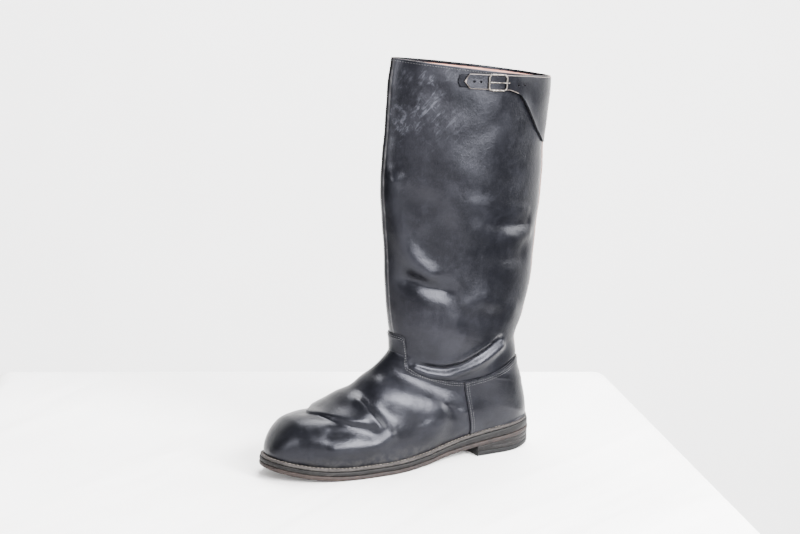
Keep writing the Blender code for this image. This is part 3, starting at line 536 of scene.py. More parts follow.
class Skin:
    """Rows of stations for each column; both sides share the front line and, on the leg, the back line."""

    def __init__(self, shares, stations, sides=(-1, 1)):
        self.shares, self.sides = np.asarray(shares, float), sides
        self.rows, self.base, self.normal, self.fold = {}, {}, {}, {}
        end = LEATHER.knots[-1]
        for side in sides:
            rows = np.array([stations(share, side) for share in self.shares]).T
            grid = np.broadcast_to(self.shares, rows.shape)
            base = LEATHER.points(rows, grid, side)
            down = LEATHER.points(np.minimum(rows + STEP_DOWN, end), grid, side)
            down = down - LEATHER.points(np.maximum(rows - STEP_DOWN, 0), grid, side)
            turn = LEATHER.points(rows, np.minimum(grid + STEP_ROUND, 1), side)
            turn = turn - LEATHER.points(rows, np.maximum(grid - STEP_ROUND, 0), side)
            normal = np.cross(down, turn) * side
            normal /= np.maximum(np.linalg.norm(normal, axis=-1), TINY)[..., None]
            self.rows[side], self.base[side], self.normal[side] = rows, base, normal
            self.fold[side] = fold_height(base)
        if len(sides) == 2:
            self.join_sides()

    def join_sides(self):
        """Columns that both sides share get one normal and one fold height."""
        closed = self.rows[1][:, -1] <= SEAT_STATION + NEAR
        tip = np.all(self.rows[1] >= LEATHER.knots[-1] - AT_TIP, axis=1)
        for value in (self.normal, self.fold):
            front = (value[1][:, 0] + value[-1][:, 0]) / 2
            back = (value[1][closed, -1] + value[-1][closed, -1]) / 2
            for side in (1, -1):
                value[side][:, 0] = front
                value[side][closed, -1] = back
        for side in (1, -1):
            self.normal[side][:, 0, 0] = 0
            self.normal[side][closed, -1, 0] = 0
            self.normal[side][tip], self.fold[side][tip] = (0, -1, 0), 0

    def layer(self, offset):
        """Grid of points at an offset, folds included; offset may vary over the grid."""
        made = {}
        for side in self.sides:
            rows = self.rows[side]
            grid = np.broadcast_to(self.shares, rows.shape)
            amount = offset(self, side) if callable(offset) else np.full(rows.shape, offset)
            low, high = math.floor(amount.min()), math.ceil(amount.max() + NEAR)
            mix = ((amount - low) / (high - low))[..., None]
            points = form(low).points(rows, grid, side) * (1 - mix)
            points = points + form(high).points(rows, grid, side) * mix
            made[side] = points + self.normal[side] * self.fold[side][..., None]
        return self.spread(made)

    def spread(self, values):
        """One grid from the sides; the inner side runs backwards and leaves out the front line."""
        parts = [values[side] if side > 0 else values[side][:, :0:-1] for side in self.sides]
        return np.concatenate(parts, axis=1)


def seat_band(skin):
    """Points near the row where leg sections end and foot sections begin, away from the edges."""
    grids = {}
    for side in skin.sides:
        rows = skin.rows[side]
        inside = (np.abs(rows - SEAT_STATION) < SEAT_BAND) & (skin.shares[None] > SOFT_FROM)
        feather = (skin.shares[None] > FEATHER_FROM) & (rows > SEAT_STATION - NEAR)
        grids[side] = np.where(inside & ~feather, 1.0, 0.0)
    return skin.spread(grids)


def sunk_edge(offset, radius, ends=("top",), skive=0.0):
    """Offset that sinks by a quarter round where the rows begin or end; skive thins the edge further."""
    def amount(skin, side):
        rows = skin.rows[side]
        sink = np.zeros(rows.shape)
        for end in ends:
            away = rows - rows[:1] if end == "top" else rows[-1:] - rows
            short = 1 - np.clip(away / radius, 0, 1)
            round_off = radius * (1 - np.sqrt(1 - short ** 2))
            sink = np.maximum(sink, round_off + skive * (1 - ease(away / SKIVE_REACH)))
        return offset - sink
    return amount


print("skins ready")

# %% Walls
SOFTEN_STEPS, SHARP_ANGLE, CROSS_STEPS = 40, 0.9, 1400
MERGE_DISTANCE, ZERO_LENGTH = 2e-6, 1e-7
ALL_AXES = {"use_axis_x": True, "use_axis_y": True, "use_axis_z": True}


def mesh_object(name, bm):
    """Object from a mesh in the making: doubles merged, faces turned outwards, sharp edges marked."""
    bmesh.ops.remove_doubles(bm, verts=bm.verts, dist=MERGE_DISTANCE)
    band = bm.verts.layers.float.get("soften")
    if band:
        verts = [vert for vert in bm.verts if vert[band] > 0.5]
        for _ in range(SOFTEN_STEPS):
            bmesh.ops.smooth_vert(bm, verts=verts, factor=0.5, **ALL_AXES)
        bm.verts.layers.float.remove(band)
    bmesh.ops.dissolve_degenerate(bm, edges=bm.edges, dist=ZERO_LENGTH)
    bmesh.ops.recalc_face_normals(bm, faces=bm.faces)
    if bm.calc_volume(signed=True) < 0:
        bmesh.ops.reverse_faces(bm, faces=bm.faces)
    for face in bm.faces:
        face.smooth = True
    for edge in bm.edges:
        edge.smooth = edge.calc_face_angle(0.0) < SHARP_ANGLE
    mesh = bpy.data.meshes.new(name)
    bm.to_mesh(mesh)
    bm.free()
    return add_object(name, mesh)


def grid_wall(name, outer, inner, sides_from=0, end=True, fold=None, rim=None, flesh_from=0, extra=None):
    """Closed wall between two equal grids; sides are closed from one row on, end closes the last row."""
    rows, cols = outer.shape[:2]
    count = rows * cols
    number = np.arange(count).reshape(rows, cols)
    faces = []

    def strip(a, b):
        faces.append(np.stack([a[:-1], a[1:], b[1:], b[:-1]], axis=-1).reshape(-1, 4))

    for grid in (number, number + count):
        quads = (grid[:-1, :-1], grid[:-1, 1:], grid[1:, 1:], grid[1:, :-1])
        faces.append(np.stack(quads, axis=-1).reshape(-1, 4))
    strip(number[0], number[0] + count)
    if end:
        strip(number[-1], number[-1] + count)
    if sides_from is not None:
        for edge in (number[sides_from:, 0], number[sides_from:, -1]):
            strip(edge, edge + count)
    mesh = bpy.data.meshes.new(name)
    places = np.concatenate([outer.reshape(-1, 3), inner.reshape(-1, 3)]) * MM
    mesh.from_pydata(places.tolist(), [], np.concatenate(faces).tolist())
    if rim is None:
        rim = np.zeros((rows, cols))
        rim[0] = 1
        if end:
            rim[-1] = 1
        if sides_from is not None:
            rim[sides_from:, 0], rim[sides_from:, -1] = 1, 1
    relief = np.zeros((rows, cols)) if fold is None else fold
    flesh = np.where(rim == 0, 1.0, 0.0)
    flesh[:flesh_from] = 0
    values = [("rim", rim, rim), ("inside", flesh * 0, flesh), ("relief", relief, relief)]
    values += [(title, grid, grid) for title, grid in (extra or {}).items()]
    for title, out, back in values:
        layer = mesh.attributes.new(title, "FLOAT", "POINT")
        layer.data.foreach_set("value", np.concatenate([out.ravel(), back.ravel()]).astype(np.float32))
    bm = bmesh.new()
    bm.from_mesh(mesh)
    bpy.data.meshes.remove(mesh)
    piece = mesh_object(name, bm)
    print(name, len(piece.data.polygons), "faces")
    return piece


def cross_station(shape, height, share, side, until=None):
    """First station on a column where the form drops to a height given over y."""
    s = np.linspace(0, until or shape.knots[shape.seat + 1], CROSS_STEPS)
    path = shape.points(s, np.full(len(s), share), side)
    over = path[:, 2] - height(path[:, 1])
    first = max(int(np.argmax(over <= 0)), 1)
    before, after = over[first - 1], over[first]
    return s[first - 1] + (s[first] - s[first - 1]) * before / (before - after)


def profile(table):
    """Height over y, read straight from a table of corners."""
    y, z = column(table, 1), column(table, 2)
    return lambda at: np.interp(at, y, z)


seam_height, tail_height = profile(FOOT_SEAM), profile(SHAFT_TAIL)


print("walls ready")

# %% [markdown]
# ## Finishes
# Shader maths reads like arithmetic here: a value wraps a node socket, and adding or multiplying
# values adds Math nodes. Everything reads object coordinates in metres, so a grain of half a
# millimetre is half a millimetre anywhere.

# %% Shader expressions
class Value:
    def __init__(self, finish, socket):
        self.finish, self.socket = finish, socket

    def math(self, operation, other, swap=False):
        first, second = (other, self) if swap else (self, other)
        return self.finish.node("ShaderNodeMath", {"operation": operation}, {0: first, 1: second})

    def __add__(self, other):
        return self.math("ADD", other)

    def __radd__(self, other):
        return self.math("ADD", other, True)

    def __sub__(self, other):
        return self.math("SUBTRACT", other)

    def __rsub__(self, other):
        return self.math("SUBTRACT", other, True)

    def __mul__(self, other):
        return self.math("MULTIPLY", other)

    def __rmul__(self, other):
        return self.math("MULTIPLY", other, True)


class Finish:
    def __init__(self, name):
        self.material = bpy.data.materials.new(name)
        self.material.use_nodes = True
        self.tree = self.material.node_tree
        self.shader = self.tree.nodes["Principled BSDF"]
        self.place = self.node("ShaderNodeTexCoord", output="Object")

    def node(self, kind, settings=None, sockets=None, output=0):
        made = self.tree.nodes.new(kind)
        for key, value in (settings or {}).items():
            setattr(made, key, value)
        for key, value in (sockets or {}).items():
            self.plug(made.inputs[key], value)
        return Value(self, made.outputs[output])

    def plug(self, socket, value):
        if isinstance(value, Value):
            self.tree.links.new(value.socket, socket)
        else:
            socket.default_value = value

    def feed(self, socket, value):
        self.plug(self.shader.inputs[socket], value)

    def mapped(self, size=(1, 1, 1), turn=(0, 0, 0)):
        """Coordinates turned about the axes and then stretched by a size."""
        return self.node("ShaderNodeMapping", {"vector_type": "TEXTURE"},
                         {"Vector": self.place, "Rotation": turn, "Scale": size})

    def noise(self, scale, detail=2.0, rough=0.5, vector=None, distortion=0.0):
        return self.node("ShaderNodeTexNoise", {}, {
            "Vector": vector or self.place, "Scale": scale, "Detail": detail, "Roughness": rough,
            "Distortion": distortion})

    def patches(self, low, high, scale, detail, rough, vector=None, distortion=0.0):
        """Noise made into patches: 0 below low, 1 above high, soft in between."""
        return self.between(self.noise(scale, detail, rough, vector, distortion), low, high)

    def cells(self, scale):
        sockets = {"Vector": self.place, "Scale": scale}
        return self.node("ShaderNodeTexVoronoi", {"feature": "SMOOTH_F1"}, sockets)

    def axis(self, name):
        return self.node("ShaderNodeSeparateXYZ", {}, {0: self.place}, output=name)

    def attribute(self, name):
        return self.node("ShaderNodeAttribute", {"attribute_name": name}, output="Fac")

    def between(self, value, low, high):
        return self.node("ShaderNodeMapRange", {"interpolation_type": "SMOOTHSTEP"},
                         {0: value, 1: low, 2: high, 3: 0.0, 4: 1.0})

    def blend(self, share, first, second):
        return self.node("ShaderNodeMix", {"data_type": "RGBA"}, {0: share, 6: first, 7: second}, output=2)

    def bump(self, height, distance, normal=None):
        sockets = {"Height": height, "Distance": distance, "Strength": 1.0}
        if normal:
            sockets["Normal"] = normal
        return self.node("ShaderNodeBump", {}, sockets)


def rgb(red, green, blue):
    return (red, green, blue, 1.0)


print("shader helper ready")

# %% [markdown]
# ## Waxed leather
# Black leather that was waxed for years: a fine pebble grain, cloudy polish, dull grey bloom where
# the wax has dried, pale scratches near the top of the shaft and dust near the sole. Cut edges show
# grey or raw, the flesh side is tan. Relief in the surface is real, so the finish adds what is too
# fine to model, plus two marks of painted light: a thin painted highlight line down the front of the
# shaft, and painted shade along the slit edge of the strap.

# %% Leather finish
BLACK, BLOOM = rgb(0.0022, 0.0023, 0.0031), rgb(0.0058, 0.0060, 0.0078)
# Painted shade for the gap under the strap's slit edge.
PAINTED_SLIT_SHADE = rgb(0.0015, 0.0015, 0.0015)
SCRATCHED, FLESH, DUST = rgb(0.027, 0.028, 0.034), rgb(0.260, 0.150, 0.100), rgb(0.024, 0.023, 0.021)
# Painted highlight colour for a thin line down the shaft's front, beside the grey of cut edges.
PAINTED_FRONT_HIGHLIGHT, GREY_EDGE = rgb(0.085, 0.083, 0.086), rgb(0.016, 0.016, 0.018)
RAW_EDGE, BROWN_EDGE = rgb(0.112, 0.096, 0.086), rgb(0.150, 0.082, 0.062)
SHEEN, FRONT_HIGHLIGHT_SHARE = rgb(0.86, 0.87, 1.0), 0.042


def leather(name, scratches_and_front_highlight=0.0, dust=0.0, edge_colour=GREY_EDGE, shine=0.16):
    look = Finish(name)
    cloud = look.patches(0.38, 0.66, 26.0, 4.0, 0.62)
    patch = look.patches(0.45, 0.72, 95.0, 3.0, 0.6, distortion=0.6)
    worn = look.between(look.attribute("relief"), 0.8, 4.5) * 0.45
    bloom = cloud * 0.55 + patch * 0.30 + worn
    colour = look.blend(look.between(bloom, 0.05, 1.15), BLACK, BLOOM)
    rough = 0.28 + cloud * 0.05 + patch * 0.04
    if scratches_and_front_highlight:
        y, z = look.axis("Y"), look.axis("Z")
        outer = look.between(look.axis("X"), -0.004, 0.006)
        zone = look.between(z, 0.318, 0.372) * (1.0 - look.between(z, 0.402, 0.418))
        zone = zone * (1.0 - look.between(y, 0.010, 0.058)) * outer
        thin = look.between(z, 0.26, 0.36) * outer * 0.35
        rising = look.mapped((1.0, 7.0, 1.0), (0.8, 0.0, 0.0))
        falling = look.mapped((1.0, 5.0, 1.0), (-0.8, 0.0, 0.0))
        strokes = look.patches(0.48, 0.68, 300.0, 4.0, 0.65, rising, 0.5)
        crossed = look.patches(0.54, 0.70, 320.0, 4.0, 0.65, falling, 0.7)
        smear = look.patches(0.36, 0.68, 34.0, 5.0, 0.6, distortion=0.8)
        mark = (strokes * 0.55 + crossed * 0.35 + 0.25) * (zone + thin) * (0.25 + smear * 0.75) * scratches_and_front_highlight
        mark = look.between(mark, 0.0, 1.15)
        colour = look.blend(mark, colour, SCRATCHED)
        rough = rough + mark * 0.25
        # Painted highlight: a thin light grey line a little round from the front line stands in for the
        # gloss on the shaft's front ridge.
        aside = look.attribute("front") - FRONT_HIGHLIGHT_SHARE
        crease = look.node("ShaderNodeMath", {"operation": "ABSOLUTE"}, {0: aside})
        crease = (1.0 - look.between(crease, 0.004, 0.014)) * (0.35 + patch * 0.5)
        colour = look.blend(crease, colour, PAINTED_FRONT_HIGHLIGHT)
    if dust:
        low = 1.0 - look.between(look.axis("Z"), 0.015, 0.030)
        dirt = low * look.patches(0.35, 0.7, 150.0, 4.0, 0.65) * dust
        colour = look.blend(dirt, colour, DUST)
        rough = rough + dirt * 0.25
    rim = look.attribute("rim")
    edge = look.between(rim, 0.35, 0.85)
    colour = look.blend(edge, colour, edge_colour)
    # Rim values below zero mark the strap's slit edge, painted near black as shade in the gap under it.
    shade = look.between(rim * -1.0, 0.25, 0.8)
    colour = look.blend(shade, colour, PAINTED_SLIT_SHADE)
    inside = look.between(look.attribute("inside"), 0.55, 0.9)
    colour = look.blend(inside, colour, FLESH)
    look.feed("Base Color", colour)
    look.feed("Roughness", rough + edge * 0.25 + shade * 0.5 + inside * 0.3)
    look.feed("Specular IOR Level", shine)
    look.feed("Specular Tint", SHEEN)
    grain = look.cells(1150.0)
    pores = look.noise(2600.0, 2.0, 0.55)
    fine = look.bump(grain * 0.6 + pores * 0.4, 0.00008)
    mottle = look.bump(look.noise(420.0, 3.0, 0.6), 0.00011, fine)
    look.feed("Normal", look.bump(look.noise(120.0, 2.0, 0.5), 0.00022, mottle))
    return look.material


# The shaft's finish also paints the thin highlight line down its front.
shaft_leather = leather("shaft_leather", scratches_and_front_highlight=1.0, edge_colour=RAW_EDGE)
foot_leather = leather("foot_leather", dust=0.5)
counter_leather = leather("counter_leather", dust=0.35)
strap_leather = leather("strap_leather", edge_colour=RAW_EDGE)
# The chape's end shows past the strap's tip, matte with a black edge: a real tab that also stands in for
# the shade beside the tip.
chape_leather_and_painted_shade = leather("chape_leather_and_painted_shade", edge_colour=BLACK, shine=0.04)
print("leather finishes ready")

# %% [markdown]
# ## Shaft
# One tall wall of leather, closed by a seam at the back. Rows lie closer together round the ankle,
# where the folds are tight. The soft leg sags a little over the edge of the foot at the back, and its
# lower edge goes on under the foot, as on the real boot.

# %% Shaft
SHAFT_IN, SHAFT_OUT, SHAFT_ROUND = 0.75, 2.0, 0.6
SHIN_SECTION, SHAFT_ROWS, ANKLE_ROWS = 4.6, 95, 116
SAG, SAG_REACH, SAG_START, SAG_FULL = 2.4, 9.0, 0.3, 3.0
SAG_FROM_SHARE, SAG_OVER_SHARE = 0.55, 0.3
EDGE_STEPS, EDGE_END = np.array([0.0, 0.15, 0.4, 0.8, 1.4]), 2.4


def shaft_stations(share, side):
    shin, stop = LEATHER.station(SHIN_SECTION), cross_station(LEATHER, tail_height, share, side)
    low = np.linspace(shin, stop, ANKLE_ROWS)[1:]
    return np.concatenate([EDGE_STEPS, np.linspace(EDGE_END, shin, SHAFT_ROWS), low])


def sag_height(above):
    """How far the leg bulges over the foot's upper edge, from the distance above that edge."""
    past = np.maximum(above - SAG_FULL, 0) / SAG_REACH
    return SAG * ease((above - SAG_START) / SAG_FULL) * np.exp(-past ** 2)


def shaft_offset(skin, side):
    edge = np.array([cross_station(LEATHER, seam_height, share, side) for share in skin.shares])
    back = ease((skin.shares - SAG_FROM_SHARE) / SAG_OVER_SHARE)
    sag = back[None] * sag_height(edge[None] - skin.rows[side])
    return sunk_edge(SHAFT_OUT, SHAFT_ROUND)(skin, side) + sag


def front_shares(skin):
    """How far round from the front line each point lies; the inner side counts below zero."""
    grids = {side: side * np.broadcast_to(skin.shares, skin.rows[side].shape) for side in skin.sides}
    return skin.spread(grids)


shaft_skin = Skin(np.linspace(0, 1, 101), shaft_stations)
shaft = grid_wall("shaft_wall", shaft_skin.layer(shaft_offset), shaft_skin.layer(SHAFT_IN),
                  sides_from=None, fold=shaft_skin.spread(shaft_skin.fold),
                  flesh_from=len(EDGE_STEPS) + 1, extra={"front": front_shares(shaft_skin)})
shaft.data.materials.append(shaft_leather)

# %% [markdown]
# ## Lining
# A facing of thinner reddish leather inside the top of the shaft, set a little below the collar,
# where its light edge shows. Further down the boot is unlined and the flesh side of the leather
# shows.

# %% Lining
LINING_IN, LINING_OUT, FACING_DEPTH = -0.2, 0.6, 75.0
LINING_STEPS = np.concatenate([[3.2, 3.5, 4.0], np.linspace(5.5, FACING_DEPTH, 28)])


def stained_finish(name, light, dark, scale, rough, rougher, grain=None, detail=4.0):
    """Plain surface in two tones that run into each other like stains."""
    look = Finish(name)
    stain = look.patches(0.35, 0.7, scale, detail, 0.6)
    look.feed("Base Color", look.blend(stain, light, dark))
    look.feed("Roughness", rough + stain * rougher)
    if grain:
        look.feed("Normal", look.bump(look.noise(grain, 3.0, 0.6), 0.0001))
    return look.material


lining_skin = Skin(np.linspace(0, 1, 43), lambda share, side: LINING_STEPS)
lining = grid_wall("shaft_lining", lining_skin.layer(LINING_OUT), lining_skin.layer(LINING_IN),
                   sides_from=None)
lining.data.materials.append(stained_finish(
    "lining_leather", rgb(0.430, 0.205, 0.150), rgb(0.260, 0.120, 0.085), 38.0, 0.62, 0.15, 1500.0))

# %% [markdown]
# ## Foot
# Vamp and quarters in one hollow wall, lasted over the foot. Its upper edge follows the seam and
# rises into the tongue tab in front. Rows keep to common stations and only the first ones bend to the
# seam, so the grid stays square and the gloss stays clean.

# %% Foot
UPPER_IN, EDGE_ROUND, EDGE_HUG, FOOT_SKIVE = 2.5, 0.4, 0.03, 0.8
foot_shares = np.linspace(0, 1, 89)


def lasted_skin(offset, edge, rows_above, *below):
    """Skin over the foot: the first rows hug its upper edge, the later ones keep to common stations."""
    starts = {}
    for share in foot_shares:
        for side in (1, -1):
            starts[share, side] = cross_station(form(offset), edge, share, side)
    lattice = np.linspace(min(starts.values()), SEAT_STATION, rows_above)
    turn = LEATHER.seat + np.linspace(0, 1, 19)[1:] ** 2
    common = LEATHER.station(np.concatenate([turn, *below]))

    def stations(share, side):
        start = starts[share, side]
        hug = start + np.minimum(np.arange(rows_above) * EDGE_HUG, (SEAT_STATION - start) * 0.5)
        return np.concatenate([np.maximum(lattice, hug), common])
    return Skin(foot_shares, stations)


def lasted_wall(name, skin, outer, inner, skive, end=True):
    """Wall from such a skin; its side edges are closed from the row where the leg's sections end."""
    open_from = int(np.where(skin.rows[1][:, -1] > SEAT_STATION + NEAR)[0][0]) - 1
    outside = skin.layer(sunk_edge(outer, EDGE_ROUND, skive=skive))
    return grid_wall(name, outside, skin.layer(inner), sides_from=open_from, end=end,
                     fold=skin.spread(skin.fold), extra={"soften": seat_band(skin)})


foot_skin = lasted_skin(UPPER_OUT, seam_height, 64, np.linspace(LEATHER.seat + 1, LEATHER.box, 86)[1:],
                        np.linspace(LEATHER.box, LEATHER.last, 30)[1:])
foot = lasted_wall("foot_wall", foot_skin, UPPER_OUT, UPPER_IN, FOOT_SKIVE, end=False)
foot.data.materials.append(foot_leather)

# %% [markdown]
# ## Counter
# A second layer over the heel, sewn on along the side seam. It is the same form a little further out,
# kept only behind a line that leans with the seam.

# %% Counter
COUNTER_IN, COUNTER_OUT, COUNTER_LOW, COUNTER_SKIVE = 4.55, 5.9, 0.8, 0.6
SIDE_SEAM_TOP, SIDE_SEAM_FOOT = (46.4, 90.0), (57.5, 15.0)
REAR_TOP, REAR_END, REAR_FOOT, REAR_LEAN, REAR_HALF = 130.0, 190.0, 5.0, 6, 80.0


def counter_edge(y):
    return seam_height(np.maximum(y, 0.0)) - COUNTER_LOW


def boolean(target, cutter, operation):
    tool = target.modifiers.new("cut", "BOOLEAN")
    tool.operation, tool.solver, tool.object = operation, "EXACT", cutter
    made = bpy.data.meshes.new_from_object(target.evaluated_get(bpy.context.evaluated_depsgraph_get()))
    target.modifiers.clear()
    old, target.data = target.data, made
    bpy.data.meshes.remove(old)
    bpy.data.objects.remove(cutter, do_unlink=True)


def prism(outline, x_from, x_to):
    bm = bmesh.new()
    near = [bm.verts.new(Vector((x_from, y, z)) * MM) for y, z in outline]
    far = [bm.verts.new(Vector((x_to, y, z)) * MM) for y, z in outline]
    bm.faces.new(near)
    bm.faces.new(far[::-1])
    for i in range(len(near)):
        j = (i + 1) % len(near)
        bm.faces.new([near[i], far[i], far[j], near[j]])
    return mesh_object("cutter", bm)


counter_skin = lasted_skin(COUNTER_OUT, counter_edge, 70, LEATHER.seat + np.linspace(1, 4, 50)[1:])
counter = lasted_wall("counter_wall", counter_skin, COUNTER_OUT, COUNTER_IN, COUNTER_SKIVE)
rear = [SIDE_SEAM_TOP, (SIDE_SEAM_TOP[0] - REAR_LEAN, REAR_TOP), (REAR_END, REAR_TOP),
        (REAR_END, REAR_FOOT), SIDE_SEAM_FOOT]
boolean(counter, prism(rear, -REAR_HALF, REAR_HALF), "INTERSECT")
counter.data.materials.clear()
counter.data.materials.append(counter_leather)
print("counter cut to", len(counter.data.polygons), "faces")

# %% [markdown]
# ## Back strip
# A narrow strip covers the seam down the back of the shaft. Its cut edges are raw and reddish.

# %% Back strip
STRIP_IN, STRIP_OUT, STRIP_HALF, STRIP_ABOVE = 2.4, 4.2, 2.6, 1.2
STRIP_FROM, STRIP_SINK, STRIP_FOLD = 0.6, 0.35, 0.9


def strip_grid(offset):
    """Columns across the back line: from the inner side over the seam to the outer side."""
    shape = form(offset)
    stop = cross_station(form(STRIP_OUT), lambda y: seam_height(y) + STRIP_ABOVE, 1.0, 1)
    s, share = np.linspace(STRIP_FROM, stop, 200), np.linspace(0.86, 1.0, 220)
    height = shape.points(s, np.ones(len(s)), 1)[:, 2]
    fold = fold_height(LEATHER.points(s, np.ones(len(s)), 1)) + sag_height(stop - s + STRIP_ABOVE)
    near = {side: shape.points(*np.meshgrid(s, share, indexing="ij"), side) for side in (1, -1)}
    columns = []
    for across in np.linspace(-STRIP_HALF, STRIP_HALF, 9):
        rows = near[1 if across >= 0 else -1]
        line = np.array([np.interp(abs(across), np.abs(row[::-1, 0]), row[::-1, 1]) for row in rows])
        columns.append(np.column_stack([np.full(len(s), across), line + fold * STRIP_FOLD, height]))
    return np.stack(columns, axis=1)


def strip_finish():
    look = Finish("strip_leather")
    rub = look.patches(0.38, 0.66, 130.0, 4.0, 0.65)
    raw = look.blend(rub, rgb(0.030, 0.020, 0.018), rgb(0.009, 0.0075, 0.0074))
    edge = look.between(look.attribute("rim"), 0.3, 0.8)
    look.feed("Base Color", look.blend(edge * 0.8, raw, BROWN_EDGE))
    look.feed("Roughness", 0.5 + rub * 0.15)
    look.feed("Normal", look.bump(look.noise(900.0, 3.0, 0.6), 0.00015))
    return look.material


strip_out = strip_grid(STRIP_OUT)
strip_out[:, [0, -1], 1] -= STRIP_SINK
back_strip = grid_wall("back_strip_wall", strip_out, strip_grid(STRIP_IN))
back_strip.data.materials.append(strip_finish())

# %% [markdown]
# ## Rear panel and strap
# Panel and strap are one piece: it starts at the back seam, its lower edge sweeps up in a curve, and
# it narrows to a strap that runs through the buckle to a pointed tip. Columns run round the leg, and
# each has its own upper and lower edge.

# %% Strap
STRAP_LOW, STRAP_HIGH, STRAP_THICK, STRAP_ROUND = 2.35, 4.3, 1.8, 0.6
STRAP_RISE_FROM, STRAP_RISE_TO = 128.0, 100.0
SLIT_STAND, SLIT_FROM, SLIT_IN, SLIT_TO, SLIT_OUT, SLIT_REACH = 1.0, 104.0, 14.0, 126.0, 26.0, 5.0
STRAP_STATION, STRAP_SEARCH, STRAP_TIP_Y = 16.0, 130.0, 44.2
SEAM_STATION, SEAM_X = 20.0, 3.2
RIM_ROWS, RIM_COLUMNS, TOP_RIM_TO = 3, 5, 98.0
STRAP_TOP_EDGE = (
    # name, y, z
    ("tip", 44.0, 400.0), ("tip_top", 50.0, 407.4), ("strap_top", 94.0, 403.6),
    ("panel_top", 120.0, 400.5), ("panel_back", 175.0, 391.5),
)
STRAP_FOOT_EDGE = (
    # name, y, z
    ("tip", 44.0, 400.0), ("tip_foot", 50.0, 392.2), ("strap_foot", 94.0, 388.2),
    ("strap_root", 103.0, 385.0), ("slit_top", 109.5, 381.5), ("slit_high", 115.0, 375.0),
    ("slit_mid", 125.8, 358.5), ("slit_low", 138.0, 341.0), ("slit_foot", 151.0, 327.5),
    ("panel_foot", 175.0, 318.0),
)


def strap_shares():
    """Columns from the tip to the back seam, close together at the tip."""
    shape = form(STRAP_HIGH)
    front, rear = np.linspace(0.2, 0.6, 400), np.linspace(0.9, 1.0, 400)
    row = shape.points(np.full(400, STRAP_STATION), front, 1)
    tip = np.interp(STRAP_TIP_Y, row[:, 1], front)
    back = shape.points(np.full(400, SEAM_STATION), rear, 1)
    stop = np.interp(-SEAM_X, -back[:, 0], rear)
    return np.concatenate([tip + np.linspace(0, 0.018, 14), np.linspace(tip + 0.02, stop, 120)])


def strap_lift(thick):
    """Offset of the strap: flat on the leg behind, lifted over the chape, standing off along the slit."""
    def amount(skin, side):
        y, rows = skin.base[side][..., 1], skin.rows[side]
        lift = ease((STRAP_RISE_FROM - y) / (STRAP_RISE_FROM - STRAP_RISE_TO))
        stand = ease((y - SLIT_FROM) / SLIT_IN) * (1 - ease((y - SLIT_TO) / SLIT_OUT))
        stand = stand * np.exp(-(rows[-1:] - rows) / SLIT_REACH)
        level = STRAP_LOW + (STRAP_HIGH - STRAP_LOW) * lift + thick + SLIT_STAND * stand
        edge = np.minimum(rows - rows[:1], rows[-1:] - rows)
        short = 1 - np.clip(edge / STRAP_ROUND, 0, 1)
        return level - (STRAP_ROUND * (1 - np.sqrt(1 - short ** 2)) if thick else 0)
    return amount


def band_ends(offset, top_edge, foot_edge, share, side):
    """Stations of a band's upper and lower edge on one column."""
    shape = form(offset)
    top = cross_station(shape, profile(top_edge), share, side, STRAP_SEARCH)
    return top, max(cross_station(shape, profile(foot_edge), share, side, STRAP_SEARCH), top + 0.2)


def strap_stations(share, side):
    top, foot = band_ends(STRAP_HIGH + STRAP_THICK, STRAP_TOP_EDGE, STRAP_FOOT_EDGE, share, side)
    span, ends = foot - top, np.array([0, 0.15, 0.4, 0.7])
    steps = np.concatenate([ends, np.linspace(1.1, span - 1.1, 42), span - ends[::-1]])
    return top + (np.sort(steps) if span > 3 else np.linspace(0, span, len(steps)))


strap_skin = Skin(strap_shares(), strap_stations, sides=(1,))
strap_y = strap_skin.base[1][..., 1]
strap_rim = np.zeros(strap_y.shape)
strap_rim[:RIM_ROWS], strap_rim[-RIM_ROWS:], strap_rim[:, :RIM_COLUMNS] = 1, 1, 1
# Along the slit the last row gets rim -1, which the finish paints as shade in the gap under the lifted
# edge.
strap_rim[-RIM_ROWS:, strap_y[-1] > SLIT_FROM] = 0
strap_rim[-1, strap_y[-1] > SLIT_FROM] = -1
strap_rim[0, strap_y[0] > TOP_RIM_TO] = 0
strap = grid_wall("strap_wall", strap_skin.layer(strap_lift(STRAP_THICK)),
                  strap_skin.layer(strap_lift(0.0)), rim=strap_rim)
strap.data.materials.append(strap_leather)

# %% [markdown]
# ## Chape and buckle
# A short tab under the strap holds the buckle: a rounded frame bent from wire and a prong that
# reaches over the strap to its far bar. The frame lies flat on the strap, so its place and tilt come
# from the leather under it.

# %% Places on the outer side
SIDE_REACH, SIDE_SHARES, SIDE_STEPS, PROBE = 60.0, (0.2, 0.8), 61, 4
STRAP_AXIS_Y, STRAP_AXIS_Z, STRAP_FALL = 44.0, 400.0, -0.083
TUBE_SIDES = 14


def side_point(shape, y, z):
    """Point of the form that shows at y, z from the outer side, found on ever finer grids."""
    low_s, high_s, (low_c, high_c) = 0.0, SIDE_REACH, SIDE_SHARES
    for _ in range(4):
        s, share = np.linspace(low_s, high_s, SIDE_STEPS), np.linspace(low_c, high_c, SIDE_STEPS)
        grid = shape.points(*np.meshgrid(s, share, indexing="ij"), 1)
        far = (grid[..., 1] - y) ** 2 + (grid[..., 2] - z) ** 2
        i, j = np.unravel_index(np.argmin(far), far.shape)
        span_s, span_c = (high_s - low_s) / 30, (high_c - low_c) / 30
        low_s, high_s = max(s[i] - span_s, 0), s[i] + span_s
        low_c, high_c = share[j] - span_c, share[j] + span_c
    return Vector(grid[i, j])


def side_place(offset, y, z):
    """Point and outward normal on the outer side at y, z."""
    shape = form(offset)
    along_y = side_point(shape, y + PROBE, z) - side_point(shape, y - PROBE, z)
    along_z = side_point(shape, y, z + PROBE) - side_point(shape, y, z - PROBE)
    normal = along_y.cross(along_z).normalized()
    return side_point(shape, y, z), (normal if normal.x > 0 else -normal)


def ring_faces(bm, rings, closed):
    for first, second in zip(rings, rings[1:] + rings[:1] if closed else rings[1:]):
        for i in range(len(first)):
            j = (i + 1) % len(first)
            bm.faces.new([first[i], first[j], second[j], second[i]])


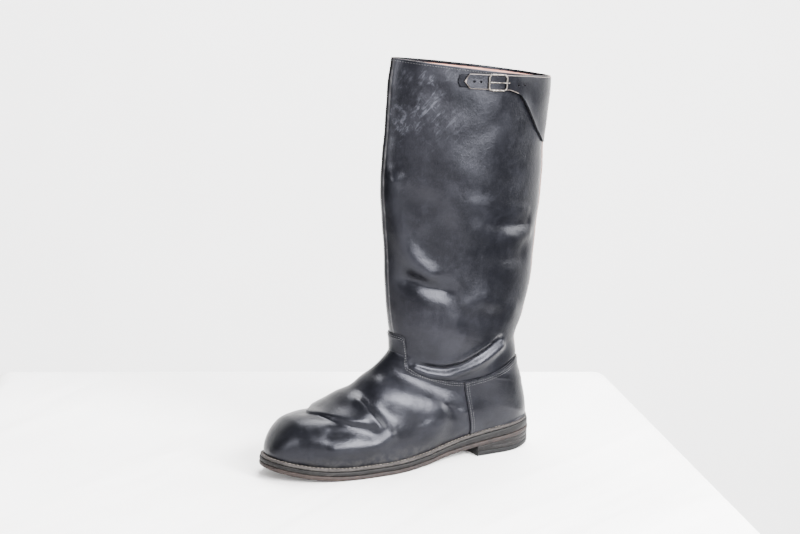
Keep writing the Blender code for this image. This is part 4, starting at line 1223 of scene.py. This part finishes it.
def tube(name, path, radii, closed):
    """Rod along a path, with a radius for each point."""
    bm = bmesh.new()
    rings = []
    last = len(path) - 1
    for i, (point, radius) in enumerate(zip(path, radii)):
        after = path[(i + 1) % len(path)] if closed else path[min(i + 1, last)]
        before = path[i - 1] if closed else path[max(i - 1, 0)]
        run = (after - before).normalized()
        side = run.cross(Vector((1, 0, 0))).normalized()
        out = run.cross(side).normalized()
        ring = []
        for k in range(TUBE_SIDES):
            turn = 2 * math.pi * k / TUBE_SIDES
            spoke = side * (radius * math.cos(turn)) + out * (radius * math.sin(turn))
            ring.append(bm.verts.new((point + spoke) * MM))
        rings.append(ring)
    ring_faces(bm, rings, closed)
    if not closed:
        bm.faces.new(rings[0])
        bm.faces.new(rings[-1][::-1])
    return mesh_object(name, bm)


def strap_axis(y):
    return STRAP_AXIS_Z + STRAP_FALL * (y - STRAP_AXIS_Y)


print("strap axis at y 80:", round(strap_axis(80.0), 1))

# %% Strap holes
HOLE_RADIUS, HOLE_IN, HOLE_OUT = 1.1, 4, 8
STRAP_HOLES = (
    # name, y, height over the strap's axis
    ("tip", 54.0, 0.0), ("tip_next", 61.5, 0.0), ("root", 104.0, -2.8), ("root_next", 113.0, -2.8),
)
for _, hole_y, over in STRAP_HOLES:
    point, normal = side_place(STRAP_HIGH, hole_y, strap_axis(hole_y) + over)
    ends = [point - normal * HOLE_IN, point + normal * HOLE_OUT]
    boolean(strap, tube("hole", ends, [HOLE_RADIUS] * 2, False), "DIFFERENCE")
print("strap has", len(STRAP_HOLES), "holes")

# %% Chape
CHAPE_IN, CHAPE_OUT, CHAPE_ROUND = 2.35, 3.9, 0.5
# The tab reaches past the strap's tip, where its matte black end also stands in for the shade beside the
# tip.
CHAPE_TOP_EDGE = (("front", 38.0, 400.2), ("high", 41.0, 407.0), ("back", 88.0, 402.6))
CHAPE_FOOT_EDGE = (("front", 38.0, 400.2), ("low", 40.5, 394.0), ("back", 88.0, 389.6))


def chape_stations(share, side):
    return np.linspace(*band_ends(CHAPE_OUT, CHAPE_TOP_EDGE, CHAPE_FOOT_EDGE, share, side), 22)


def chape_share(y):
    share = np.linspace(0.15, 0.7, 600)
    row = form(CHAPE_OUT).points(np.full(600, STRAP_STATION), share, 1)
    return float(np.interp(y, row[:, 1], share))


chape_shares = np.concatenate([np.linspace(chape_share(38.2), chape_share(43.0), 14),
                               np.linspace(chape_share(43.5), chape_share(88.0), 34)])
chape_skin = Skin(chape_shares, chape_stations, sides=(1,))
chape_outside = chape_skin.layer(sunk_edge(CHAPE_OUT, CHAPE_ROUND, ("top", "foot")))
chape = grid_wall("chape_tab", chape_outside, chape_skin.layer(CHAPE_IN))
chape.data.materials.append(chape_leather_and_painted_shade)

# %% Buckle
BUCKLE_Y, BUCKLE_LENGTH, BUCKLE_HEIGHT = 79.3, 21.5, 17.6
BUCKLE_WIRE, BUCKLE_CORNER, BUCKLE_CLEAR = 0.85, 3.6, 0.55
PRONG_RADIUS, PRONG_CLEAR, PRONG_OVER, PRONG_TAPER, PRONG_STEPS = 0.65, 0.35, 2.2, 0.35, 25


def metal_finish():
    look = Finish("tarnished_steel")
    tarnish = look.patches(0.42, 0.66, 420.0, 5.0, 0.7)
    look.feed("Base Color", look.blend(tarnish, rgb(0.15, 0.135, 0.122), rgb(0.014, 0.012, 0.011)))
    look.feed("Metallic", 1.0 - tarnish * 0.55)
    look.feed("Roughness", 0.34 + tarnish * 0.30)
    look.feed("Normal", look.bump(look.noise(2200.0, 3.0, 0.6), 0.00006))
    return look.material


seat_point, seat_normal = side_place(STRAP_HIGH + STRAP_THICK, BUCKLE_Y, strap_axis(BUCKLE_Y))
run = Vector((0, 1, STRAP_FALL)).normalized()
run = (run - seat_normal * run.dot(seat_normal)).normalized()
rise = seat_normal.cross(run)
rise = rise if rise.z > 0 else -rise
half_run, half_rise = BUCKLE_LENGTH / 2 - BUCKLE_WIRE, BUCKLE_HEIGHT / 2 - BUCKLE_WIRE
wire_middle = seat_point + seat_normal * (BUCKLE_WIRE + BUCKLE_CLEAR)
frame_path = []
for sign_run, sign_rise, start in ((1, 1, 0), (-1, 1, 90), (-1, -1, 180), (1, -1, 270)):
    for k in range(11):
        turn = math.radians(start + 9 * k)
        a = sign_run * (half_run - BUCKLE_CORNER) + BUCKLE_CORNER * math.cos(turn)
        b = sign_rise * (half_rise - BUCKLE_CORNER) + BUCKLE_CORNER * math.sin(turn)
        frame_path.append(wire_middle + run * a + rise * b)
buckle_frame = tube("buckle_wire", frame_path, [BUCKLE_WIRE] * len(frame_path), True)
prong_root = -half_run + BUCKLE_WIRE + PRONG_RADIUS
prong_path, prong_radii = [], []
for share in np.linspace(0, 1, PRONG_STEPS):
    over = float(ease((share - 0.45) / 0.4)) * (2 * BUCKLE_WIRE + BUCKLE_CLEAR)
    reach = float(prong_root + (half_run + PRONG_OVER - prong_root) * share)
    prong_path.append(seat_point + run * reach + seat_normal * (PRONG_RADIUS + PRONG_CLEAR + over))
    prong_radii.append(float(PRONG_RADIUS * (1 - PRONG_TAPER * share)))
buckle_prong = tube("buckle_tongue", prong_path, prong_radii, False)
steel = metal_finish()
for piece in (buckle_frame, buckle_prong):
    piece.data.materials.append(steel)
print("buckle at", tuple(round(v) for v in seat_point))

# %% [markdown]
# ## Sole
# Outsole, midsole and welt are stacked slabs of leather with rounded edges. The welt is a ring with a
# ledge that shows all round the upper. Each slab is a set of rings of one outline, moved in and up by
# an edge profile.

# %% Sole slabs
OUTSOLE_ROUND, MIDSOLE_ROUND, WELT_ROUND = 1.2, 1.0, 1.0


def ring_solid(name, rings, closed, half=None):
    """Solid from equal rings; closed joins last to first, otherwise both ends are capped in strips."""
    bm = bmesh.new()
    verts = [[bm.verts.new(Vector(p) * MM) for p in ring] for ring in rings]
    count = len(verts[0])
    ring_faces(bm, verts, closed)
    if not closed:
        whole = half is None
        steps = count // 2 if whole else half
        for ring in (verts[0], verts[-1]):
            for i in range(steps):
                k = (count - i) % count if whole else count - 1 - i
                corners = dict.fromkeys((ring[i], ring[i + 1], ring[(k - 1) % count], ring[k]))
                bm.faces.new(list(corners))
    return mesh_object(name, bm)


def sole_ring(inset, height, front=TOE_Y, steps=SOLE_STEPS):
    loop = sole_loop(inset, front, steps)
    return np.column_stack([loop, height(loop[:, 1])])


def round_profile(depth, steps=9, power=2.4):
    """Edge rows of inset and share of thickness, bulging in the middle."""
    shares = (1 - np.cos(np.linspace(0, math.pi, steps))) / 2
    return [(depth * (1 - (1 - abs(2 * k - 1) ** power) ** (1 / power)), k) for k in shares]


def edge_rings(set_back, base, thick, rows, front=TOE_Y, steps=SOLE_STEPS):
    """One ring of the sole's outline for each row of inset and share of thickness."""
    rings = []
    for inset, share in rows:
        rings.append(sole_ring(set_back + inset, lambda y: base(y) + thick(y) * share, front, steps))
    return rings


def slab(name, set_back, base, thick, rows, front=TOE_Y, steps=SOLE_STEPS):
    rings = edge_rings(set_back, base, thick, rows, front, steps)
    return ring_solid(name, rings, False, None if front <= TOE_Y else steps)


def even(thickness):
    return lambda y: np.full_like(y, thickness)


def midsole_base(y):
    return underside(y) + OUTSOLE_THICK + GAP


outsole = slab("outsole_slab", 0.0, underside, even(OUTSOLE_THICK), round_profile(OUTSOLE_ROUND))
midsole = slab("midsole_slab", MIDSOLE_SET_BACK, midsole_base, midsole_thick, round_profile(MIDSOLE_ROUND))
welt_rows = round_profile(WELT_ROUND)
welt_rows += [(WELT_WIDTH / 2, 1.0), (WELT_WIDTH, 1.0), (WELT_WIDTH, 0.0), (WELT_WIDTH / 2, 0.0)]
welt = ring_solid("welt_ring", edge_rings(WELT_SET_BACK, welt_base, even(WELT_THICK), welt_rows), True)
for piece in (outsole, midsole, welt):
    print(piece.name, len(piece.data.polygons), "faces")

# %% Heel
def lift_base(y):
    return heel_wear(y) + TOP_PIECE_THICK + GAP


def lift_thick(y):
    return underside(y) - GAP - lift_base(y)


GROOVE, HEEL_STEPS = 0.35, 60
LIFT_EDGE = ((0.4, 0.0), (0.05, 0.08), (0.0, 0.2), (0.0, 0.44), (GROOVE, 0.48), (GROOVE, 0.52), (0.0, 0.56),
             (0.0, 0.85), (0.1, 0.94), (0.5, 1.0))
TREAD_EDGE = ((0.8, 0.0), (0.25, 0.06), (0.0, 0.18), (0.0, 0.8), (0.15, 0.93), (0.5, 1.0))
heel_lifts = slab("heel_stack", HEEL_SET_BACK, lift_base, lift_thick, LIFT_EDGE, BREAST_Y, HEEL_STEPS)
heel_top = slab("heel_tread", HEEL_SET_BACK, heel_wear, even(TOP_PIECE_THICK), TREAD_EDGE, BREAST_Y,
                HEEL_STEPS)
print("heel:", len(heel_lifts.data.polygons), len(heel_top.data.polygons), "faces")

# %% [markdown]
# ## Sole finishes
# Cut leather edges that were once blackened: the ink has rubbed off the ridges, so brown and grey
# come through, more at the toe. The welt's upper face has gone grey with dust, and the tread is bare
# and scuffed.

# %% Sole finishes
def sole_finish(name, dark, bare, rubbed, scuff_from):
    look = Finish(name)
    layers = look.noise(60.0, 4.0, 0.65, look.mapped((1.0, 1.0, 0.0625)))
    spots = look.noise(240.0, 4.0, 0.7)
    toe = 1.0 - look.between(look.axis("Y"), -0.150, -0.060)
    worn = look.between(layers * 0.55 + spots * 0.45 + toe * 0.06, scuff_from, scuff_from + 0.22)
    scrape = look.patches(0.60, 0.72, 170.0, 5.0, 0.75, look.mapped((1.0, 3.3, 0.6)))
    colour = look.blend(worn, dark, bare)
    look.feed("Base Color", look.blend(scrape * 0.6, colour, rubbed))
    look.feed("Roughness", 0.50 + worn * 0.2 + scrape * 0.1)
    look.feed("Specular IOR Level", 0.10)
    fibre = look.bump(layers * 0.5 + spots * 0.5, 0.00045)
    look.feed("Normal", look.bump(look.noise(1300.0, 3.0, 0.6), 0.00012, fibre))
    return look.material


SOLE_LOOKS = (
    # piece, finish, scuffed from, dark, bare, rubbed
    (outsole, "outsole_edge", 0.42,
     (0.0105, 0.0088, 0.0085), (0.027, 0.020, 0.0185), (0.090, 0.062, 0.048)),
    (midsole, "midsole_edge", 0.47,
     (0.0056, 0.0054, 0.0056), (0.014, 0.013, 0.0126), (0.060, 0.056, 0.054)),
    (welt, "welt_leather", 0.40,
     (0.016, 0.0144, 0.014), (0.038, 0.034, 0.0325), (0.075, 0.068, 0.064)),
    (heel_lifts, "heel_leather", 0.47,
     (0.006, 0.0056, 0.0057), (0.014, 0.0126, 0.0124), (0.050, 0.046, 0.044)),
    (heel_top, "heel_rubber", 0.50,
     (0.0055, 0.0055, 0.0058), (0.011, 0.0105, 0.010), (0.036, 0.033, 0.030)),
)
for piece, title, scuff_from, dark, bare, rubbed in SOLE_LOOKS:
    piece.data.materials.append(sole_finish(title, rgb(*dark), rgb(*bare), rgb(*rubbed), scuff_from))
print("sole finishes ready")

# %% [markdown]
# ## Insole
# The floor of the boot: a tan sheet, seen only down the shaft.

# %% Insole
INSOLE_THICK, INSOLE_SET_BACK = 2.4, UPPER_OUT - UPPER_IN + 7 * GAP
insole_rings = []
for inset, k in ((0.0, 0.0), (0.0, 0.55), (0.3, 0.85), (0.9, 1.0)):
    insole_rings.append(sole_ring(lambda y: along(LEDGE_STATIONS, 2, y) + INSOLE_SET_BACK + inset,
                                  lambda y: feather_height(y) + INSOLE_THICK * k))
insole = ring_solid("insole_sheet", insole_rings, False)
insole.data.materials.append(stained_finish(
    "insole_leather", rgb(0.340, 0.205, 0.120), rgb(0.150, 0.088, 0.055), 30.0, 0.6, 0.15, 1200.0))
print("insole", len(insole.data.polygons), "faces")

# %% [markdown]
# ## Stitches
# Two rows run along the upper edge of the foot and down the side seam, one row along the collar, and
# a coarse row along the welt's ledge. A stitch is a tiny flat bead. Geometry Nodes lay one at every
# step of a path and turn it along the path, which keeps the pitch even on any seam.

# %% Stitch nodes
def stitch_tree(name):
    tree = bpy.data.node_groups.new(name, "GeometryNodeTree")
    face = tree.interface
    face.new_socket("Geometry", in_out="INPUT", socket_type="NodeSocketGeometry")
    sizes = {}
    for title in ("Pitch", "Length", "Width", "Height"):
        sizes[title] = face.new_socket(title, in_out="INPUT", socket_type="NodeSocketFloat").identifier
    thread = face.new_socket("Thread", in_out="INPUT", socket_type="NodeSocketMaterial").identifier
    face.new_socket("Geometry", in_out="OUTPUT", socket_type="NodeSocketGeometry")
    made = {}
    for title, kind in (("start", "NodeGroupInput"), ("end", "NodeGroupOutput"),
                        ("resample", "GeometryNodeResampleCurve"), ("bead", "GeometryNodeMeshUVSphere"),
                        ("size", "ShaderNodeCombineXYZ"), ("tangent", "GeometryNodeInputTangent"),
                        ("turn", "FunctionNodeAlignRotationToVector"),
                        ("lay", "GeometryNodeInstanceOnPoints"), ("real", "GeometryNodeRealizeInstances"),
                        ("paint", "GeometryNodeSetMaterial")):
        made[title] = tree.nodes.new(kind)
    made["resample"].mode, made["turn"].axis = "LENGTH", "X"
    for title, value in (("Segments", 6), ("Rings", 4), ("Radius", 0.5)):
        made["bead"].inputs[title].default_value = value
    wires = (
        ("start", "Geometry", "resample", "Curve"), ("start", "Pitch", "resample", "Length"),
        ("start", "Length", "size", "X"), ("start", "Width", "size", "Y"), ("start", "Height", "size", "Z"),
        ("tangent", 0, "turn", "Vector"), ("resample", 0, "lay", "Points"),
        ("bead", "Mesh", "lay", "Instance"), ("turn", 0, "lay", "Rotation"), ("size", 0, "lay", "Scale"),
        ("lay", 0, "real", 0), ("real", 0, "paint", "Geometry"), ("start", "Thread", "paint", "Material"),
        ("paint", 0, "end", 0),
    )
    for source, output, target, socket in wires:
        tree.links.new(made[source].outputs[output], made[target].inputs[socket])
    return tree, sizes, thread


STITCH_TREE, STITCH_SIZES, STITCH_THREAD = stitch_tree("stitch_row")


def stitch_rows(name, paths, thread, pitch, length, width, height):
    curve = bpy.data.curves.new(name, "CURVE")
    curve.dimensions = "3D"
    for path in paths:
        spline = curve.splines.new("POLY")
        spline.points.add(len(path) - 1)
        flat = np.column_stack([np.asarray(path) * MM, np.ones(len(path))])
        spline.points.foreach_set("co", flat.ravel())
    holder = add_object(name + "_path", curve)
    tool = holder.modifiers.new("stitches", "NODES")
    tool.node_group = STITCH_TREE
    for title, value in (("Pitch", pitch), ("Length", length), ("Width", width), ("Height", height)):
        tool[STITCH_SIZES[title]] = value * MM
    tool[STITCH_THREAD] = thread
    made = bpy.data.meshes.new_from_object(holder.evaluated_get(bpy.context.evaluated_depsgraph_get()))
    bpy.data.objects.remove(holder, do_unlink=True)
    made.name = name
    for polygon in made.polygons:
        polygon.use_smooth = True
    print(name, len(made.polygons), "faces")
    return add_object(name, made)


def thread_finish(name, light, dark):
    return stained_finish(name, light, dark, 300.0, 0.7, 0.1, detail=3.0)


black_thread = thread_finish("black_thread", rgb(0.040, 0.040, 0.043), rgb(0.014, 0.014, 0.015))
welt_thread = thread_finish("welt_thread", rgb(0.120, 0.105, 0.088), rgb(0.045, 0.039, 0.033))
print("threads ready")

# %% Stitch paths
PROUD, ROW_DROPS, SIDE_ROW_SETS = 0.05, (1.6, 4.0), (1.8, 4.4)
FOOT_ROW_PAST, COUNTER_ROW_FROM, SIDE_ROW_TOP, SIDE_ROW_FOOT = 4.0, 2.5, 81.0, 27.0
COLLAR_DROP, LEDGE_SET, LEDGE_PROUD = 2.6, 1.9, 0.1
SEAM_STITCH, COLLAR_STITCH = (2.6, 2.0, 0.75, 0.6), (2.8, 2.1, 0.7, 0.55)
WELT_STITCH = (4.2, 3.3, 1.0, 0.8)


def down_from_edge(grid, distance):
    """Points a distance below the first row of a grid, measured along each column."""
    points = []
    for c in range(grid.shape[1]):
        line = grid[:60, c]
        length = np.concatenate([[0], np.cumsum(np.linalg.norm(np.diff(line, axis=0), axis=1))])
        points.append([np.interp(distance, length, line[:, k]) for k in range(3)])
    return np.array(points)


foot_outer = foot_skin.layer(UPPER_OUT + PROUD)
counter_outer = counter_skin.layer(COUNTER_OUT + PROUD)
shaft_outer = shaft_skin.layer(SHAFT_OUT + PROUD)
foot_rows, counter_rows = [], []
for drop in ROW_DROPS:
    line = down_from_edge(foot_outer, drop)
    foot_rows.append(line[line[:, 1] < SIDE_SEAM_TOP[0] + FOOT_ROW_PAST])
    line = down_from_edge(counter_outer, drop)
    for part in (line[:len(line) // 2], line[len(line) // 2:]):
        counter_rows.append(part[part[:, 1] > SIDE_SEAM_TOP[0] + COUNTER_ROW_FROM])


def seam_line(set_back, side):
    """Row on the counter beside the side seam, from its top to the welt."""
    heights = np.linspace(SIDE_ROW_TOP, SIDE_ROW_FOOT, 60)
    lean = (SIDE_SEAM_FOOT[0] - SIDE_SEAM_TOP[0]) / (SIDE_SEAM_TOP[1] - SIDE_SEAM_FOOT[1])
    half = counter_outer.shape[1] // 2
    grid = counter_outer[:, half:] if side > 0 else counter_outer[:, :half]
    line = []
    for z in heights:
        y = SIDE_SEAM_TOP[0] + (SIDE_SEAM_TOP[1] - z) * lean + set_back
        far = (grid[..., 1] - y) ** 2 + (grid[..., 2] - z) ** 2
        near = np.argsort(far.ravel())[:4]
        weight = 1 / (far.ravel()[near] + 0.05)
        x = float((grid[..., 0].ravel()[near] * weight).sum() / weight.sum())
        line.append((x, y, z))
    return np.array(line)


side_rows = [seam_line(set_back, side) for set_back in SIDE_ROW_SETS for side in (1, -1)]
upper_stitches = stitch_rows("foot_stitches", foot_rows, black_thread, *SEAM_STITCH)
counter_stitches = stitch_rows("counter_stitches", counter_rows + side_rows, black_thread, *SEAM_STITCH)
collar_row = down_from_edge(shaft_outer, COLLAR_DROP)
collar_stitches = stitch_rows("collar_stitches", [collar_row], black_thread, *COLLAR_STITCH)
welt_path = sole_ring(WELT_SET_BACK + LEDGE_SET, lambda y: welt_base(y) + WELT_THICK + LEDGE_PROUD)
welt_row = np.vstack([welt_path, welt_path[:1]])
welt_stitches = stitch_rows("welt_stitches", [welt_row], welt_thread, *WELT_STITCH)

# %% [markdown]
# ## Stage
# A table with a white cloth, a white wall some way behind it that glows a little, and soft studio
# light: a key and two smaller lights right of the camera, one from the far right, one high behind
# that lights the cloth, and a weak fill from the left. Black leather is mostly seen by what it
# mirrors, so the size and place of the lights shape the highlights. The lights themselves stay hidden
# from the camera.

# %% Stage
TABLE_FRONT, TABLE_BACK, TABLE_LEFT, TABLE_RIGHT = -1.6, 0.33, -0.47, 0.285
TABLE_TAPER, TABLE_EDGE, TABLE_DROP = 0.07, 0.03, 0.8
WALL_BACK, WALL_GLOW, WALL_HALF, WALL_FOOT, WALL_TOP = 2.7, 2.6, 7.0, -2.5, 5.0
CLOTH, PAINT, STAIN = rgb(0.91, 0.90, 0.895), rgb(0.90, 0.89, 0.885), rgb(0.70, 0.68, 0.66)
away = -Vector((view_back.x, view_back.y, 0)).normalized()
across = Vector((view_right.x, view_right.y, 0)).normalized()


def pale_finish(name, colour, crumple, glow=0.0):
    look = Finish(name)
    stain = look.patches(0.35, 0.75, 2.3, 4.0, 0.6)
    look.feed("Base Color", look.blend(stain * 0.35, colour, STAIN))
    look.feed("Roughness", 0.85)
    creases = look.noise(5.0, 3.0, 0.5, look.mapped((1.0, 4.0, 1.0), (0.0, 0.0, 0.5)), 0.7)
    look.feed("Normal", look.bump(creases, crumple))
    look.feed("Emission Color", colour)
    look.feed("Emission Strength", glow)
    return look.material


def stage_piece(name, bm, finish):
    mesh = bpy.data.meshes.new(name)
    bm.to_mesh(mesh)
    bm.free()
    made = add_object(name, mesh)
    made.data.materials.append(finish)
    return made


def table():
    """Top of a cloth-covered table with rounded edges, in the camera's own directions."""
    rows = [(0.0, 0.0)]
    for k in range(1, 7):
        turn = math.radians(15 * k)
        rows.append((TABLE_EDGE * math.sin(turn), -TABLE_EDGE * (1 - math.cos(turn))))
    rows.append((TABLE_EDGE, -TABLE_DROP))
    bm = bmesh.new()
    rings = []
    for out, height in rows:
        front, back, left = TABLE_FRONT - out, TABLE_BACK + out, TABLE_LEFT - out
        near_right, far_right = TABLE_RIGHT + 4 * TABLE_TAPER + out, TABLE_RIGHT - TABLE_TAPER + out
        corners = ((front, left), (front, near_right), (back, far_right), (back, left))
        rings.append([bm.verts.new(away * a + across * b + Vector((0, 0, height))) for a, b in corners])
    bm.faces.new(rings[0])
    ring_faces(bm, rings, False)
    bmesh.ops.recalc_face_normals(bm, faces=bm.faces)
    for face in bm.faces:
        face.smooth = abs(face.normal.z) < 0.999
    return stage_piece("table", bm, pale_finish("table_cloth", CLOTH, 0.012))


def wall():
    bm = bmesh.new()
    left, right = away * WALL_BACK - across * WALL_HALF, away * WALL_BACK + across * WALL_HALF
    foot_rise, top_rise = Vector((0, 0, WALL_FOOT)), Vector((0, 0, WALL_TOP))
    corners = (left + foot_rise, right + foot_rise, right + top_rise, left + top_rise)
    bm.faces.new([bm.verts.new(corner) for corner in corners])
    return stage_piece("wall", bm, pale_finish("wall_paint", PAINT, 0.002, WALL_GLOW))


for backdrop in (table(), wall()):
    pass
print("table and wall ready")

# %% Light
LIGHTS = (
    # name, turn, rise, distance, size, power
    ("key", 50.0, 28.0, 2.1, (0.9, 1.0), 230.0),
    ("front", 22.0, 26.0, 2.1, (0.6, 0.6), 80.0),
    ("low", 42.0, 11.0, 2.1, (0.6, 0.6), 40.0),
    ("side", 98.0, 13.0, 2.1, (0.8, 0.8), 60.0),
    ("top", 155.0, 68.0, 1.9, (1.6, 1.2), 165.0),
    ("fill", -44.0, 12.0, 2.1, (0.5, 0.5), 30.0),
)
LIGHT_TARGET, SKY, SKY_STRENGTH = Vector((0, 0, 0.2)), rgb(0.94, 0.96, 1.0), 0.35


def soft_light(name, turn, rise, distance, size, power):
    """Area light aimed at the boot; turn counts from the camera to the right, rise from the floor up."""
    towards = heading(VIEW_AZIMUTH + math.radians(turn), math.radians(rise))
    place = LIGHT_TARGET + distance * towards
    lamp = bpy.data.lights.new(name, "AREA")
    lamp.shape, lamp.size, lamp.size_y, lamp.energy = "ELLIPSE", size[0], size[1], power
    light = add_object(name, lamp)
    aim = (LIGHT_TARGET - place).to_track_quat("-Z", "Y").to_matrix()
    light.matrix_world = Matrix.Translation(place) @ aim.to_4x4()
    light.visible_camera = False


for row in LIGHTS:
    soft_light(*row)
world = bpy.context.scene.world or bpy.data.worlds.new("studio")
bpy.context.scene.world = world
world.use_nodes = True
world.node_tree.nodes["Background"].inputs["Color"].default_value = SKY
world.node_tree.nodes["Background"].inputs["Strength"].default_value = SKY_STRENGTH
print("stage set")

# %% [markdown]
# ## Standing for the solids
# Each fine piece stands for the solid of the same part, and everything rides on the boot's single
# body.

# %% Frame
PIECES = (
    (shaft, ("shaft",), "shaft"), (lining, (), "insole"), (foot, ("upper",), "upper"),
    (counter, ("counter",), "counter"), (back_strip, ("back_strip",), "back_strip"),
    (strap, ("strap_panel",), "strap_panel"), (chape, ("chape",), "chape"),
    (buckle_frame, ("buckle_frame",), "buckle_frame"), (buckle_prong, ("buckle_prong",), "buckle_prong"),
    (outsole, ("outsole",), "outsole"), (midsole, ("midsole",), "midsole"), (welt, ("welt",), "welt"),
    (heel_lifts, ("heel_lifts",), "heel_lifts"), (heel_top, ("heel_top_piece",), "heel_top_piece"),
    (insole, ("insole",), "insole"), (upper_stitches, (), "upper"), (counter_stitches, (), "counter"),
    (collar_stitches, (), "shaft"), (welt_stitches, (), "welt"),
)
for piece, nodes, slot in PIECES:
    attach(piece, "root")
    if nodes:
        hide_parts(*nodes)
print("pieces:", len(PIECES))
